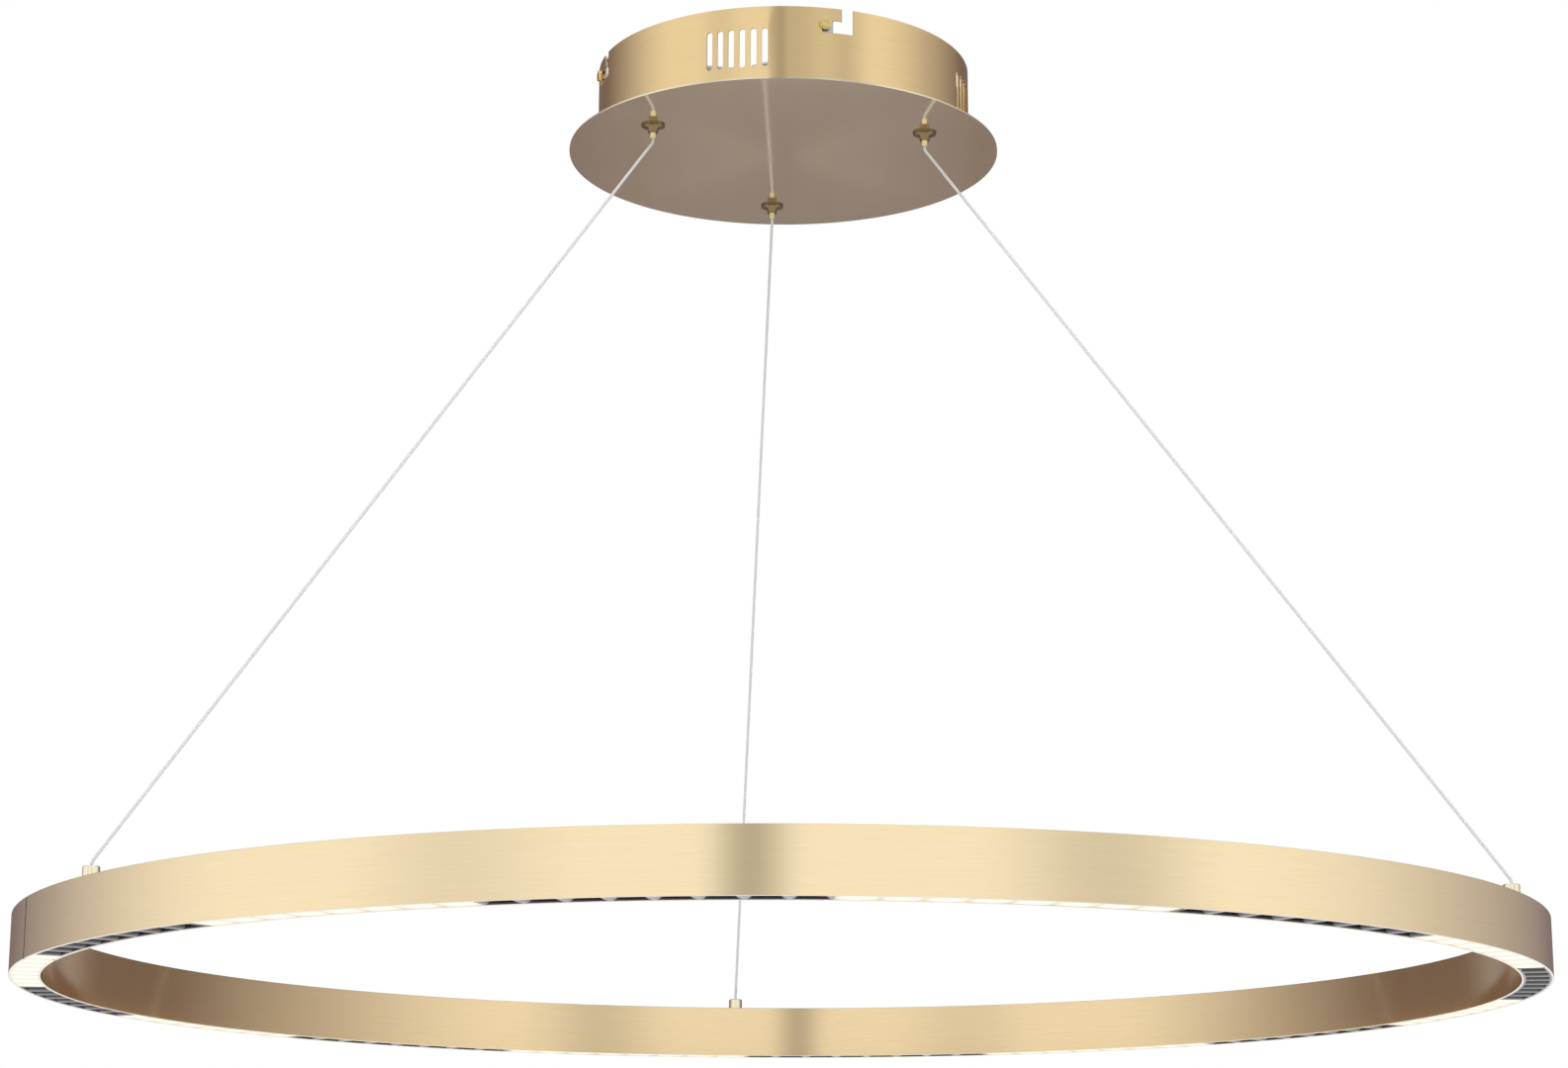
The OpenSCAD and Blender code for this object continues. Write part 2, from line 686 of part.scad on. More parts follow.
// Half section of the band: two side walls, a top web and an inner web
module band_section() difference() {
    translate([ring_r - ring_w, ring_bottom_z]) square([ring_w, ring_h]);
    translate([ring_mid_r - channel_w / 2, ring_bottom_z - eps]) square([channel_w, light_depth + eps]);
    translate([ring_mid_r - channel_w / 2, web_top_z]) square([channel_w, chamber_top_z - web_top_z]);
    translate([ring_mid_r - channel_w / 2 - groove_depth, bead_z - groove_h / 2])
        square([channel_w + 2 * groove_depth, groove_h]);
}

module ring_profile() color(brass) difference() {
    rotate_extrude($fn = 360) band_section();
    at_azimuth(seam_turn) translate([-seam_gap / 2, -ring_r - 1, ring_bottom_z - 1])
        cube([seam_gap, ring_w + 2, ring_h + 2]);
    for (azimuth = hang_az) at_azimuth(azimuth, ring_mid_r)
        translate([0, 0, chamber_top_z - eps]) cylinder(r = stud_r + tapped_fit, h = ring_top_t + 2 * eps);
    for (azimuth = joint_screw_az) at_azimuth(azimuth, ring_mid_r) translate([0, 0, ring_top_z])
        joint_screw_shape(near_fit, ring_top_t + eps);
    for (m = [0:2 * pairs - 1]) at_azimuth(module_turn + (m + 0.5) * module_deg) {
        for (side = [-1, 1]) translate([0, -ring_mid_r + side * bus_offset, web_bottom_z - eps])
            cylinder(r = bus_hole_r, h = ring_web_t + 2 * eps);
    }
    for (azimuth = board_screw_az) at_azimuth(azimuth, ring_mid_r)
        translate([0, 0, web_bottom_z - eps])
            cylinder(r = board_screw_r + tapped_fit, h = ring_web_t + 2 * eps);
}

// A countersunk screw with its head flush at height 0, pointing down
module joint_screw_shape(fit, length)
    rotate_extrude($fn = 48) polygon([
        [0, 0],
        [joint_head_r + fit, 0],
        [joint_screw_r + fit, -joint_head_t],
        [joint_screw_r + fit, -length],
        [0, -length]
    ]);

// The curved bar inside the upper chamber that closes the seam
module joint_bar() color(zinc) difference() {
    ring_stretch(seam_turn - joint_bar_deg / 2, seam_turn + joint_bar_deg / 2)
        translate([ring_mid_r - channel_w / 2 + module_fit, chamber_top_z - joint_bar_h])
            square([channel_w - 2 * module_fit, joint_bar_h]);
    for (azimuth = joint_screw_az) at_azimuth(azimuth, ring_mid_r)
        translate([0, 0, chamber_top_z - joint_bar_h - eps])
            cylinder(r = joint_screw_r + tapped_fit, h = joint_bar_h + 2 * eps);
}

module joint_screws() color(polished_brass)
    for (azimuth = joint_screw_az) at_azimuth(azimuth, ring_mid_r)
        translate([0, 0, ring_top_z - near_fit]) difference() {
            joint_screw_shape(0, joint_screw_l);
            for (turn = [0, 90]) rotate([0, 0, turn])
                cube([joint_recess_l, joint_recess_w, 2 * joint_recess_depth], center = true);
        }

module ring_anchors() color(polished_brass)
    for (azimuth = hang_az) at_azimuth(azimuth, ring_mid_r) translate([0, 0, ring_top_z])
        rotate_extrude() polygon([
            [cable_bore_r, -ring_top_t - stud_drop],
            [stud_r, -ring_top_t - stud_drop],
            [stud_r, 0],
            [anchor_d / 2, 0],
            [anchor_d / 2, anchor_h - anchor_chamfer],
            [anchor_d / 2 - anchor_chamfer, anchor_h],
            [cable_d / 2 + tapped_fit, anchor_h],
            [cable_d / 2 + tapped_fit, anchor_h - anchor_neck],
            [cable_bore_r, anchor_h - anchor_neck]
        ]);

// The end of each cable inside its anchor, down to its ferrule
module cable_ends() color(sleeve)
    for (azimuth = hang_az) at_azimuth(azimuth, ring_mid_r)
        translate([0, 0, stud_end_z - ferrule_h])
            cylinder(d = cable_d, h = cable_low_z - stud_end_z + ferrule_h, $fn = 32);

module cable_ferrules() color(zinc)
    for (azimuth = hang_az) at_azimuth(azimuth, ring_mid_r)
        translate([0, 0, stud_end_z - ferrule_h]) difference() {
            cylinder(r = ferrule_r, h = ferrule_h);
            translate([0, 0, -eps])
                cylinder(r = cable_d / 2 + tapped_fit, h = ferrule_h + 2 * eps, $fn = 32);
        }

// Two flat conductors round the upper chamber, with drops to the light boards and a rise to one cable each
module bus_strips() color(film_black)
    for (k = [0, 1]) {
        strip_r = ring_mid_r + (2 * k - 1) * bus_offset;
        ring_stretch(seam_turn + bus_end_deg, seam_turn + 360 - bus_end_deg)
            translate([strip_r - bus_w / 2, bus_z]) square([bus_w, bus_t]);
        for (m = [0:2 * pairs - 1]) at_azimuth(module_turn + (m + 0.5) * module_deg, strip_r)
            translate([0, 0, web_bottom_z]) cylinder(d = bus_drop_d, h = bus_z + bus_t / 2 - web_bottom_z);
        at_azimuth(hang_az[k]) {
            translate([-bus_w / 2, -max(strip_r, ring_mid_r) - bus_w / 4, bus_z + bus_t / 4])
                cube([bus_w, bus_offset + bus_w / 2, bus_t / 2]);
            translate([0, -ring_mid_r, bus_z + bus_t / 2])
                cylinder(d = bus_drop_d, h = stud_end_z - ferrule_h - bus_z - bus_t / 2);
        }
    }

// The side walls, snap beads and open back that every light module shares
module module_blank(azimuth) {
    start = azimuth + gap_deg / 2;
    stop = azimuth + module_deg - gap_deg / 2;
    ring_stretch(start, stop) union() {
        translate([ring_mid_r - module_w / 2, face_z]) square([module_w, board_z - face_z]);
        translate([ring_mid_r - module_w / 2 - module_fit - bead_out, bead_z - bead_h / 2])
            square([module_w + 2 * (module_fit + bead_out), bead_h]);
    }
}

function module_start(i, kind) = module_turn + (2 * i - 4 + kind) * module_deg;

// The back pocket of a module, from a height up to the light board
module back_pocket(azimuth, low_z, wall)
    ring_stretch(azimuth + gap_deg / 2 + end_wall_deg, azimuth + module_deg - gap_deg / 2 - end_wall_deg)
        translate([ring_mid_r - module_w / 2 + wall, low_z])
            square([module_w - 2 * wall, board_z - low_z + eps]);

// A louvre: eight light cells between rounded bars, with an open back for the lenses
module louvre(i) color(dark_plastic) {
    azimuth = module_start(i, 1);
    difference() {
        module_blank(azimuth);
        back_pocket(azimuth, lens_rest_z, louvre_rim);
        for (k = [0:cells - 1]) at_azimuth(azimuth + (k + 0.5) * cell_deg) louvre_cell();
    }
}

// The space of one louvre cell: a throat that flares between two rounded bars
module louvre_cell() {
    depth = lens_rest_z - face_z;
    cell_l = module_w - 2 * louvre_rim;
    mouth_w = cell_pitch - bar_crest;
    translate([0, -ring_mid_r + cell_l / 2, face_z]) rotate([90, 0, 0])
    linear_extrude(cell_l) difference() {
        translate([-mouth_w / 2, -eps]) square([mouth_w, depth + 2 * eps]);
        for (side = [-1, 1]) {
            translate([side * (cell_throat / 2 + bar_r), bar_r]) circle(r = bar_r, $fn = 64);
            translate([side > 0 ? cell_throat / 2 : -cell_throat / 2 - bar_r, bar_r])
                square([bar_r, depth]);
        }
    }
}

// An opal diffuser: a face of eight pillowed segments, with side walls and an open back
module diffuser(i) color(opal) {
    azimuth = module_start(i, 0);
    difference() {
        module_blank(azimuth);
        back_pocket(azimuth, face_z + opal_t, opal_side);
        for (k = [0:cells - 1]) at_azimuth(azimuth + (k + 0.5) * cell_deg) pillow_cut();
    }
}

// What is cut from a flat face to leave one crowned segment
module pillow_cut() {
    half = cell_pitch / 2;
    reach = half * 1.03;
    skim = 0.03;
    crown_r = (half * half + opal_crown * opal_crown) / (2 * opal_crown);
    cut_l = ring_w + 2;
    translate([0, -ring_mid_r + cut_l / 2, face_z]) rotate([90, 0, 0]) linear_extrude(cut_l) difference() {
        translate([-reach, -1]) square([2 * reach, 1 + 1.5 * opal_crown + skim]);
        translate([0, crown_r + skim]) circle(r = crown_r, $fn = 360);
    }
}

// Sixteen light boards, each with eight chips on its underside
module led_boards() color(board_white)
    for (m = [0:2 * pairs - 1]) {
        azimuth = module_turn + m * module_deg;
        difference() {
            union() {
                ring_stretch(azimuth + gap_deg, azimuth + module_deg - gap_deg)
                    translate([ring_mid_r - module_w / 2, board_z]) square([module_w, board_t]);
                for (k = [0:cells - 1]) at_azimuth(azimuth + (k + 0.5) * cell_deg, ring_mid_r)
                    translate([-led_size / 2, -led_size / 2, board_z - led_t])
                        cube([led_size, led_size, led_t + eps]);
            }
            for (k = [1, cells - 1]) at_azimuth(azimuth + k * cell_deg, ring_mid_r)
                translate([0, 0, board_z - eps])
                    cylinder(r = board_screw_r + near_fit, h = board_t + 2 * eps, $fn = 24);
        }
    }

// Eight clear strips, each with eight lenses that reach into the louvre's throats
module lens_strips() color(clear_plastic)
    for (i = [0:pairs - 1]) {
        azimuth = module_start(i, 1);
        strip_w = module_w - 2 * louvre_rim - 2 * module_fit;
        end_deg = 2 * end_wall_deg;
        ring_stretch(azimuth + end_deg, azimuth + module_deg - end_deg)
            translate([ring_mid_r - strip_w / 2, lens_rest_z]) square([strip_w, lens_t]);
        for (k = [0:cells - 1]) at_azimuth(azimuth + (k + 0.5) * cell_deg, ring_mid_r)
            translate([0, 0, lens_rest_z - lens_drop])
                cylinder(r1 = lens_r - 1, r2 = lens_r, h = lens_drop + eps, $fn = 32);
    }

module board_screws() color(zinc)
    for (azimuth = board_screw_az) at_azimuth(azimuth, ring_mid_r) {
        head_r = 1.9;
        head_t = 0.9;
        translate([0, 0, board_z - head_t]) cylinder(r = head_r, h = head_t, $fn = 24);
        translate([0, 0, board_z - eps]) cylinder(r = board_screw_r, h = board_t + ring_web_t, $fn = 24);
    }

ceiling_bracket();
bayonet_screws();
earth_screw();
canopy_drum();
canopy_disc();
driver_case();
driver_cover();
driver_board();
driver_screws();
driver_leads();
terminal_block();
terminal_screws();
cable_tails();
gripper_body(0);  // gripper_body_1
gripper_body(1);  // gripper_body_2
gripper_body(2);  // gripper_body_3
gripper_nuts();
gripper_washers();
gripper_caps();
release_tip(0);  // release_tip_1
release_tip(1);  // release_tip_2
release_tip(2);  // release_tip_3
gripper_balls(0);  // gripper_balls_1
gripper_balls(1);  // gripper_balls_2
gripper_balls(2);  // gripper_balls_3
gripper_spring(0);  // gripper_spring_1
gripper_spring(1);  // gripper_spring_2
gripper_spring(2);  // gripper_spring_3
hanging_cable(0);  // cable_1
hanging_cable(1);  // cable_2
hanging_cable(2);  // cable_3
ring_profile();
joint_bar();
joint_screws();
ring_anchors();
cable_ends();
cable_ferrules();
bus_strips();
louvre(0);  // louvre_1
louvre(1);  // louvre_2
louvre(2);  // louvre_3
louvre(3);  // louvre_4
louvre(4);  // louvre_5
louvre(5);  // louvre_6
louvre(6);  // louvre_7
louvre(7);  // louvre_8
diffuser(0);  // diffuser_1
diffuser(1);  // diffuser_2
diffuser(2);  // diffuser_3
diffuser(3);  // diffuser_4
diffuser(4);  // diffuser_5
diffuser(5);  // diffuser_6
diffuser(6);  // diffuser_7
diffuser(7);  // diffuser_8
led_boards();
lens_strips();
board_screws();
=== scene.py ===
"""Ring chandelier in brushed brass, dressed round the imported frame. Metres, +Z up, origin at the ceiling."""

import json
from math import atan, cos, degrees, pi, radians, sin, tan

import bmesh
import bpy
from mathutils import Matrix, Vector


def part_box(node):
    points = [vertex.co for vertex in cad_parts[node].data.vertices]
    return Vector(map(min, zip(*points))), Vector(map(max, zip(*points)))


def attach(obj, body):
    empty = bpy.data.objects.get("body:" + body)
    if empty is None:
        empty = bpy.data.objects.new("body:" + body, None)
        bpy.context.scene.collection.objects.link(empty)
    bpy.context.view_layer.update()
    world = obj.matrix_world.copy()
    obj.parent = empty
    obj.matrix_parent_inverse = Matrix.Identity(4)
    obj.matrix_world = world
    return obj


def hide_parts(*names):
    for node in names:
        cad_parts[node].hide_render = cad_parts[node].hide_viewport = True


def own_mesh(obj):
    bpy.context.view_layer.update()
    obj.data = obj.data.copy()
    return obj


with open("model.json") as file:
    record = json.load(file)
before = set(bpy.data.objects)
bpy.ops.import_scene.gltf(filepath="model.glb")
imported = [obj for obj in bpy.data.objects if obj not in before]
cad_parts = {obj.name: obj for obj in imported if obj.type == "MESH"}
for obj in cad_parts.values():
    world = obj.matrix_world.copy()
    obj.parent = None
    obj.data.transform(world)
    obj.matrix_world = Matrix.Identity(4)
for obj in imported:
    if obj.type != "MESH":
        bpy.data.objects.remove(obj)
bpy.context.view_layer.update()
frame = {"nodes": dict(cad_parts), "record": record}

MM = 0.001

# The photograph's frame and the camera fitted to it
IMAGE_WIDTH_PX = 1585
FOCAL_PX = 3444
SENSOR_MM = 36
CAMERA_AT = Vector((0.0, -2.2653, -0.8783))
CAMERA_PITCH = 0.2362
CAMERA_YAW = -0.0005
CAMERA_ROLL = 0.0024
CLIP_NEAR = 0.05
CLIP_FAR = 100

# Sizes that the frame's boxes don't give, and azimuths in degrees
RING_WIDTH = 20 * MM
RING_WALL = 1.6 * MM
RING_TOP = 2.5 * MM
RING_WEB = 1.5 * MM
LIGHT_DEPTH = 15.5 * MM
BOARD_THICK = 1.6 * MM
SEAM_GAP = 0.6 * MM
SEAM_TURN = -66.7
MODULE_TURN = 3.3
MODULE_COUNT = 16
CELLS = 8
HANG_TURNS = (-55.7, 64.3, 184.3)
GRIPPER_CIRCLE_R = 108 * MM
CABLE_D = 2.0 * MM
CABLE_LEAD_IN = 1 * MM
CABLE_BEND_R = 5 * MM


def lowest(node):
    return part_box(node)[0]


def highest(node):
    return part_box(node)[1]


RING_R = highest("ring_profile").x
RING_BOTTOM = lowest("ring_profile").z
RING_HIGH = highest("ring_profile").z
RING_INNER = RING_R - RING_WIDTH
RING_MID = RING_R - RING_WIDTH / 2
CABLE_HIGH = highest("cable_1").z
CABLE_LOW = lowest("cable_1").z


def polar(turn, radius, z):
    """A point at an azimuth in degrees: 0 faces -Y, and azimuths grow towards +X."""
    return Vector((radius * sin(radians(turn)), -radius * cos(radians(turn)), z))


# Camera
def make_camera():
    data = bpy.data.cameras.new("camera")
    data.sensor_width = SENSOR_MM
    data.lens = FOCAL_PX * SENSOR_MM / IMAGE_WIDTH_PX
    data.clip_start = CLIP_NEAR
    data.clip_end = CLIP_FAR
    camera = bpy.data.objects.new("camera", data)
    bpy.context.scene.collection.objects.link(camera)
    ahead = Vector((
        -sin(CAMERA_YAW) * cos(CAMERA_PITCH),
        cos(CAMERA_YAW) * cos(CAMERA_PITCH),
        sin(CAMERA_PITCH),
    ))
    right = ahead.cross(Vector((0, 0, 1))).normalized()
    up = right.cross(ahead)
    rolled_right = right * cos(CAMERA_ROLL) + up * sin(CAMERA_ROLL)
    rolled_up = up * cos(CAMERA_ROLL) - right * sin(CAMERA_ROLL)
    rotation = Matrix((rolled_right, rolled_up, -ahead)).transposed()
    camera.matrix_world = Matrix.Translation(CAMERA_AT) @ rotation.to_4x4()
    bpy.context.scene.camera = camera


# Mesh helpers, with the angles in degrees up to which edges are shaded smooth
SMOOTH = 35
SMOOTH_CORE = 80
SMOOTH_BAND = 30
SMOOTH_STAGE = 60
CORNER_STEPS = 3


def new_object(name, bm, materials, smooth_angle=SMOOTH):
    """An object from a bmesh, shaded smooth across edges up to an angle."""
    bmesh.ops.recalc_face_normals(bm, faces=bm.faces)
    mesh = bpy.data.meshes.new(name)
    bm.to_mesh(mesh)
    bm.free()
    for material in materials:
        mesh.materials.append(material)
    mesh.polygons.foreach_set("use_smooth", [True] * len(mesh.polygons))
    mesh.set_sharp_from_angle(angle=radians(smooth_angle))
    obj = bpy.data.objects.new(name, mesh)
    bpy.context.scene.collection.objects.link(obj)
    return obj


def rounded(corners):
    """A closed outline from corners of (x, y, radius): each becomes an arc, or stays sharp at radius 0."""
    made = []
    places = [Vector(corner[:2]) for corner in corners]
    for i, here in enumerate(places):
        radius = corners[i][2]
        if radius <= 0:
            made.append(here)
            continue
        back = (places[i - 1] - here).normalized()
        out = (places[(i + 1) % len(places)] - here).normalized()
        half = back.angle(out) / 2
        reach = radius / tan(half)
        centre = here + (back + out).normalized() * radius / sin(half)
        first = here + back * reach - centre
        last = here + out * reach - centre
        for k in range(CORNER_STEPS + 1):
            arm = first.lerp(last, k / CORNER_STEPS).normalized() * radius
            made.append(centre + arm)
    return made


def full_turn(sides):
    """The angles of a polygon's corners, in radians."""
    return [2 * pi * k / sides for k in range(sides)]


def turned_rings(bm, outline, turns):
    """One ring of vertices at each azimuth, for an outline of (radius, height)."""
    return [[bm.verts.new(polar(turn, r, z)) for r, z in outline] for turn in turns]


def join_rings(bm, rings):
    """Faces between each closed ring of vertices and the next ring."""
    for ring, ahead in zip(rings, rings[1:]):
        for k in range(len(ring)):
            after = (k + 1) % len(ring)
            bm.faces.new((ring[k], ring[after], ahead[after], ahead[k]))


def close_tube(bm, rings):
    """The sides and both ends of a tube, from its rings."""
    join_rings(bm, rings)
    bm.faces.new(list(reversed(rings[0])))
    bm.faces.new(rings[-1])


# Cables
BEND_STEPS = 10
SLEEVE_SIDES = 16
SLEEVE_SPACING = 4 * MM
CORE_D = 1.4 * MM
CORE_SIDES = 28
STRANDS = 7
LAY_LENGTH = 11 * MM
RINGS_PER_LAY = 12
LOBE_DEPTH = 0.04


def corner_arc(before, corner, after, radius):
    """Points on the arc that rounds a corner of the route."""
    into = (corner - before).normalized()
    out = (after - corner).normalized()
    turn = into.angle(out)
    start = corner - into * radius * tan(turn / 2)
    inward = (out - into * out.dot(into)).normalized()
    angles = [turn * i / BEND_STEPS for i in range(BEND_STEPS + 1)]
    return [start + into * radius * sin(angle) + inward * radius * (1 - cos(angle)) for angle in angles]


def cable_route(turn):
    """A taut cable: straight out of its gripper, a bend, straight, a bend, straight into its anchor."""
    high = polar(turn, GRIPPER_CIRCLE_R, CABLE_HIGH)
    low = polar(turn, RING_MID, CABLE_LOW)
    slope = atan((RING_MID - GRIPPER_CIRCLE_R) / (CABLE_HIGH - CABLE_LOW))
    reach = CABLE_LEAD_IN + CABLE_BEND_R * tan(slope / 2)
    first = high - Vector((0, 0, reach))
    second = low + Vector((0, 0, reach))
    return [
        high,
        *corner_arc(high, first, second, CABLE_BEND_R),
        *corner_arc(first, second, low, CABLE_BEND_R),
        low,
    ]


def resampled(points, spacing):
    """The same route with more points, about a spacing apart on its straight lengths."""
    made = [points[0]]
    for here, ahead in zip(points, points[1:]):
        count = max(1, round((ahead - here).length / spacing))
        made.extend(here.lerp(ahead, k / count) for k in range(1, count + 1))
    return made


def route_frames(points):
    """Two side vectors at each point, carried along the route with the least twist."""
    frames = []
    side = None
    for i in range(len(points)):
        ahead = (points[min(i + 1, len(points) - 1)] - points[max(i - 1, 0)]).normalized()
        if side is None:
            side = ahead.cross(Vector((1, 0, 0))).normalized()
        side = (side - ahead * side.dot(ahead)).normalized()
        frames.append((side, ahead.cross(side)))
    return frames


def tube(bm, points, sides, radius_at):
    """A closed tube along the points. Its radius depends on the angle and on the distance travelled."""
    rings = []
    travelled = 0.0
    for i, (side, up) in enumerate(route_frames(points)):
        if i:
            travelled += (points[i] - points[i - 1]).length
        rings.append([
            bm.verts.new(points[i] + (side * cos(angle) + up * sin(angle)) * radius_at(angle, travelled))
            for angle in full_turn(sides)
        ])
    close_tube(bm, rings)


def sleeve_radius(angle, travelled):
    """The sleeve is round and plain, so its radius is the same everywhere."""
    return CABLE_D / 2


def core_radius(angle, travelled):
    """The soft lobes of a laid rope, which turn once in each lay length."""
    swing = angle - 2 * pi * travelled / LAY_LENGTH
    return CORE_D / 2 * (1 - LOBE_DEPTH * (1 - abs(cos(swing * STRANDS / 2))))


def make_cable(number, turn, sleeve_material, core_material):
    """A clear sleeve over a twisted bright core."""
    route = cable_route(turn)
    smooth_route = resampled(route, SLEEVE_SPACING)
    bm = bmesh.new()
    tube(bm, smooth_route, SLEEVE_SIDES, sleeve_radius)
    sleeve = new_object(f"cable_sleeve_{number}", bm, [sleeve_material])
    bm = bmesh.new()
    tube(bm, resampled(route, LAY_LENGTH / RINGS_PER_LAY), CORE_SIDES, core_radius)
    core = new_object(f"cable_core_{number}", bm, [core_material], SMOOTH_CORE)
    for piece in (sleeve, core):
        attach(piece, "canopy")
        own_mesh(piece)
    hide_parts(f"cable_{number}")


# Material helpers. Most values of a noise lie between the first two of these, and the
# last three are the places of a Mix node's colour sockets
NOISE_LOW = 0.3
NOISE_HIGH = 0.7
MIX_A = 6
MIX_B = 7
MIX_RESULT = 2


class Nodes:
    """Short ways to add and wire shader nodes in one material or world."""

    def __init__(self, tree):
        self.tree = tree
        tree.nodes.clear()

    def add(self, kind, **settings):
        node = self.tree.nodes.new(kind)
        for name, value in settings.items():
            setattr(node, name, value)
        return node

    def put(self, source, socket):
        """A link from another node's socket, or a plain value."""
        if isinstance(source, bpy.types.NodeSocket):
            self.tree.links.new(source, socket)
        else:
            socket.default_value = source

    def fill(self, node, values):
        """Values or links for a node's inputs, by name."""
        for name, source in values.items():
            self.put(source, node.inputs[name])

    def wire(self, kind, *sources, **settings):
        """A node with its first inputs filled in order. Returns its first output."""
        node = self.add(kind, **settings)
        for source, socket in zip(sources, node.inputs):
            self.put(source, socket)
        return node.outputs[0]

    def finish(self, shader, kind="ShaderNodeOutputMaterial"):
        self.put(shader, self.add(kind).inputs[0])

    def math(self, operation, a, b=0.0, clamp=False):
        return self.wire("ShaderNodeMath", a, b, operation=operation, use_clamp=clamp)

    def plus(self, a, b):
        return self.math("ADD", a, b)

    def minus(self, a, b):
        return self.math("SUBTRACT", a, b)

    def times(self, a, b):
        return self.math("MULTIPLY", a, b)

    def from_axis(self, x, y):
        """The distance from the Z axis."""
        return self.math("SQRT", self.plus(self.times(x, x), self.times(y, y)))

    def off_centre(self, place):
        """How far a place is from the middle of its unit cell, 0 to 0.5."""
        return self.math("ABSOLUTE", self.minus(self.math("FRACT", place), 0.5))

    def remap(self, value, low, high, to_low, to_high, interpolation="LINEAR"):
        sources = (value, low, high, to_low, to_high)
        return self.wire("ShaderNodeMapRange", *sources, interpolation_type=interpolation)

    def rise(self, value, low, high):
        """0 to 1 between two values, with soft ends."""
        return self.remap(value, low, high, 0.0, 1.0, "SMOOTHSTEP")

    def fall(self, value, low, high):
        """1 to 0 between two values, with soft ends."""
        return self.remap(value, low, high, 1.0, 0.0, "SMOOTHSTEP")

    def spread(self, noise, to_low, to_high):
        """A noise value stretched between two levels."""
        return self.remap(noise, NOISE_LOW, NOISE_HIGH, to_low, to_high)

    def varied(self, noise, level, shares):
        """A level that a noise varies between two shares of it."""
        return self.spread(noise, level * shares[0], level * shares[1])

    def noise(self, place, scale, detail=2.0, roughness=0.5):
        node = self.add("ShaderNodeTexNoise")
        self.fill(node, {"Vector": place, "Scale": scale, "Detail": detail, "Roughness": roughness})
        return node.outputs["Fac"]

    def combine(self, x, y, z):
        return self.wire("ShaderNodeCombineXYZ", x, y, z)

    def mix(self, factor, a, b):
        """A mix of two colours."""
        node = self.add("ShaderNodeMix", data_type="RGBA")
        self.put(factor, node.inputs["Factor"])
        self.put(a, node.inputs[MIX_A])
        self.put(b, node.inputs[MIX_B])
        return node.outputs[MIX_RESULT]

    def blend(self, factor, first, second):
        """A mix of two shaders."""
        return self.wire("ShaderNodeMixShader", factor, first, second)

    def bump(self, height, strength, distance):
        node = self.add("ShaderNodeBump")
        self.fill(node, {"Strength": strength, "Distance": distance, "Height": height})
        return node.outputs[0]

    def object_place(self):
        return self.add("ShaderNodeTexCoord").outputs["Object"]

    def object_axes(self):
        parts = self.add("ShaderNodeSeparateXYZ")
        self.put(self.object_place(), parts.inputs[0])
        return tuple(parts.outputs)


def empty_material(name):
    material = bpy.data.materials.new(name)
    material.use_nodes = True
    return material, Nodes(material.node_tree)


def new_material(name):
    """A material, its nodes and its one Principled shader."""
    material, nodes = empty_material(name)
    shader = nodes.add("ShaderNodeBsdfPrincipled")
    nodes.finish(shader.outputs[0])
    return material, nodes, shader


def rgb(r, g, b):
    return (r, g, b, 1.0)


def scaled(color, share):
    """A colour with its channels multiplied, each at most 1."""
    return rgb(*(min(1.0, channel * share) for channel in color[:3]))


# Brushed metal: the size of a fine streak and of a broad one, how much the fine ones count, the turn and
# depth of the brushing, and the core and the edge of the two fans of painted shade on a disc
STREAK_LENGTH = 20 * MM
STREAK_WIDTH = 0.5 * MM
BROAD_LENGTH = 3 * STREAK_LENGTH
BROAD_WIDTH = 4 * STREAK_WIDTH
STREAK_SHARE = 0.7
BRUSH_TURN = 0.25
BRUSH_BUMP = 0.03
BRUSH_DEPTH = 0.02 * MM
BRUSH_ROUGHNESS = (1.12, 0.9)
PAINTED_FAN_CORE = 15 * MM
PAINTED_FAN_EDGE = 0.6


def brushed_metal(name, color, dark_share, roughness, anisotropy, painted_fan_share=0.0):
    """Metal brushed in circles round the part's axis: fine streaks in colour, roughness and bump.

    A fan share above 0 darkens two soft fans towards the front and back: painted shade for the sheen of a disc
    brushed in circles.
    """
    material, nodes, shader = new_material(name)
    x, y, z = nodes.object_axes()
    radius = nodes.from_axis(x, y)
    across = nodes.plus(radius, z)

    def in_streaks(length, width):
        """The place in lengths and widths of a streak."""
        return nodes.combine(
            nodes.times(x, 1 / length),
            nodes.times(y, 1 / length),
            nodes.times(across, 1 / width),
        )

    streaks = nodes.noise(in_streaks(STREAK_LENGTH, STREAK_WIDTH), 1.0, detail=3.0, roughness=0.6)
    broad = nodes.noise(in_streaks(BROAD_LENGTH, BROAD_WIDTH), 1.0)
    both = nodes.plus(nodes.times(streaks, STREAK_SHARE), nodes.times(broad, 1 - STREAK_SHARE))
    share = nodes.spread(both, 0.0, 1.0)
    deep = scaled(color, 1 - dark_share)
    tone = nodes.mix(share, deep, color)
    # Painted shade: two fans towards the front and back, darker than the sides
    if painted_fan_share > 0:
        whole = nodes.plus(nodes.times(radius, radius), PAINTED_FAN_CORE ** 2)
        sheen_sides = nodes.remap(nodes.math("DIVIDE", nodes.times(x, x), whole), 0.0, PAINTED_FAN_EDGE, 0.0, 1.0)
        fan_shade_tone = nodes.mix(share, scaled(deep, 1 - painted_fan_share), scaled(color, 1 - painted_fan_share))
        tone = nodes.mix(sheen_sides, fan_shade_tone, tone)
    nodes.fill(shader, {
        "Base Color": tone,
        "Roughness": nodes.varied(streaks, roughness, BRUSH_ROUGHNESS),
        "Normal": nodes.bump(streaks, BRUSH_BUMP, BRUSH_DEPTH),
        "Metallic": 1.0,
        "Anisotropic": anisotropy,
        "Anisotropic Rotation": BRUSH_TURN,
        "Tangent": nodes.add("ShaderNodeTangent", direction_type="RADIAL", axis="Z").outputs[0],
    })
    return material


# Tool marks on turned metal are this many times as long as they are high
MARK_STRETCH = 6
MARK_ROUGHNESS = (1.2, 0.8)


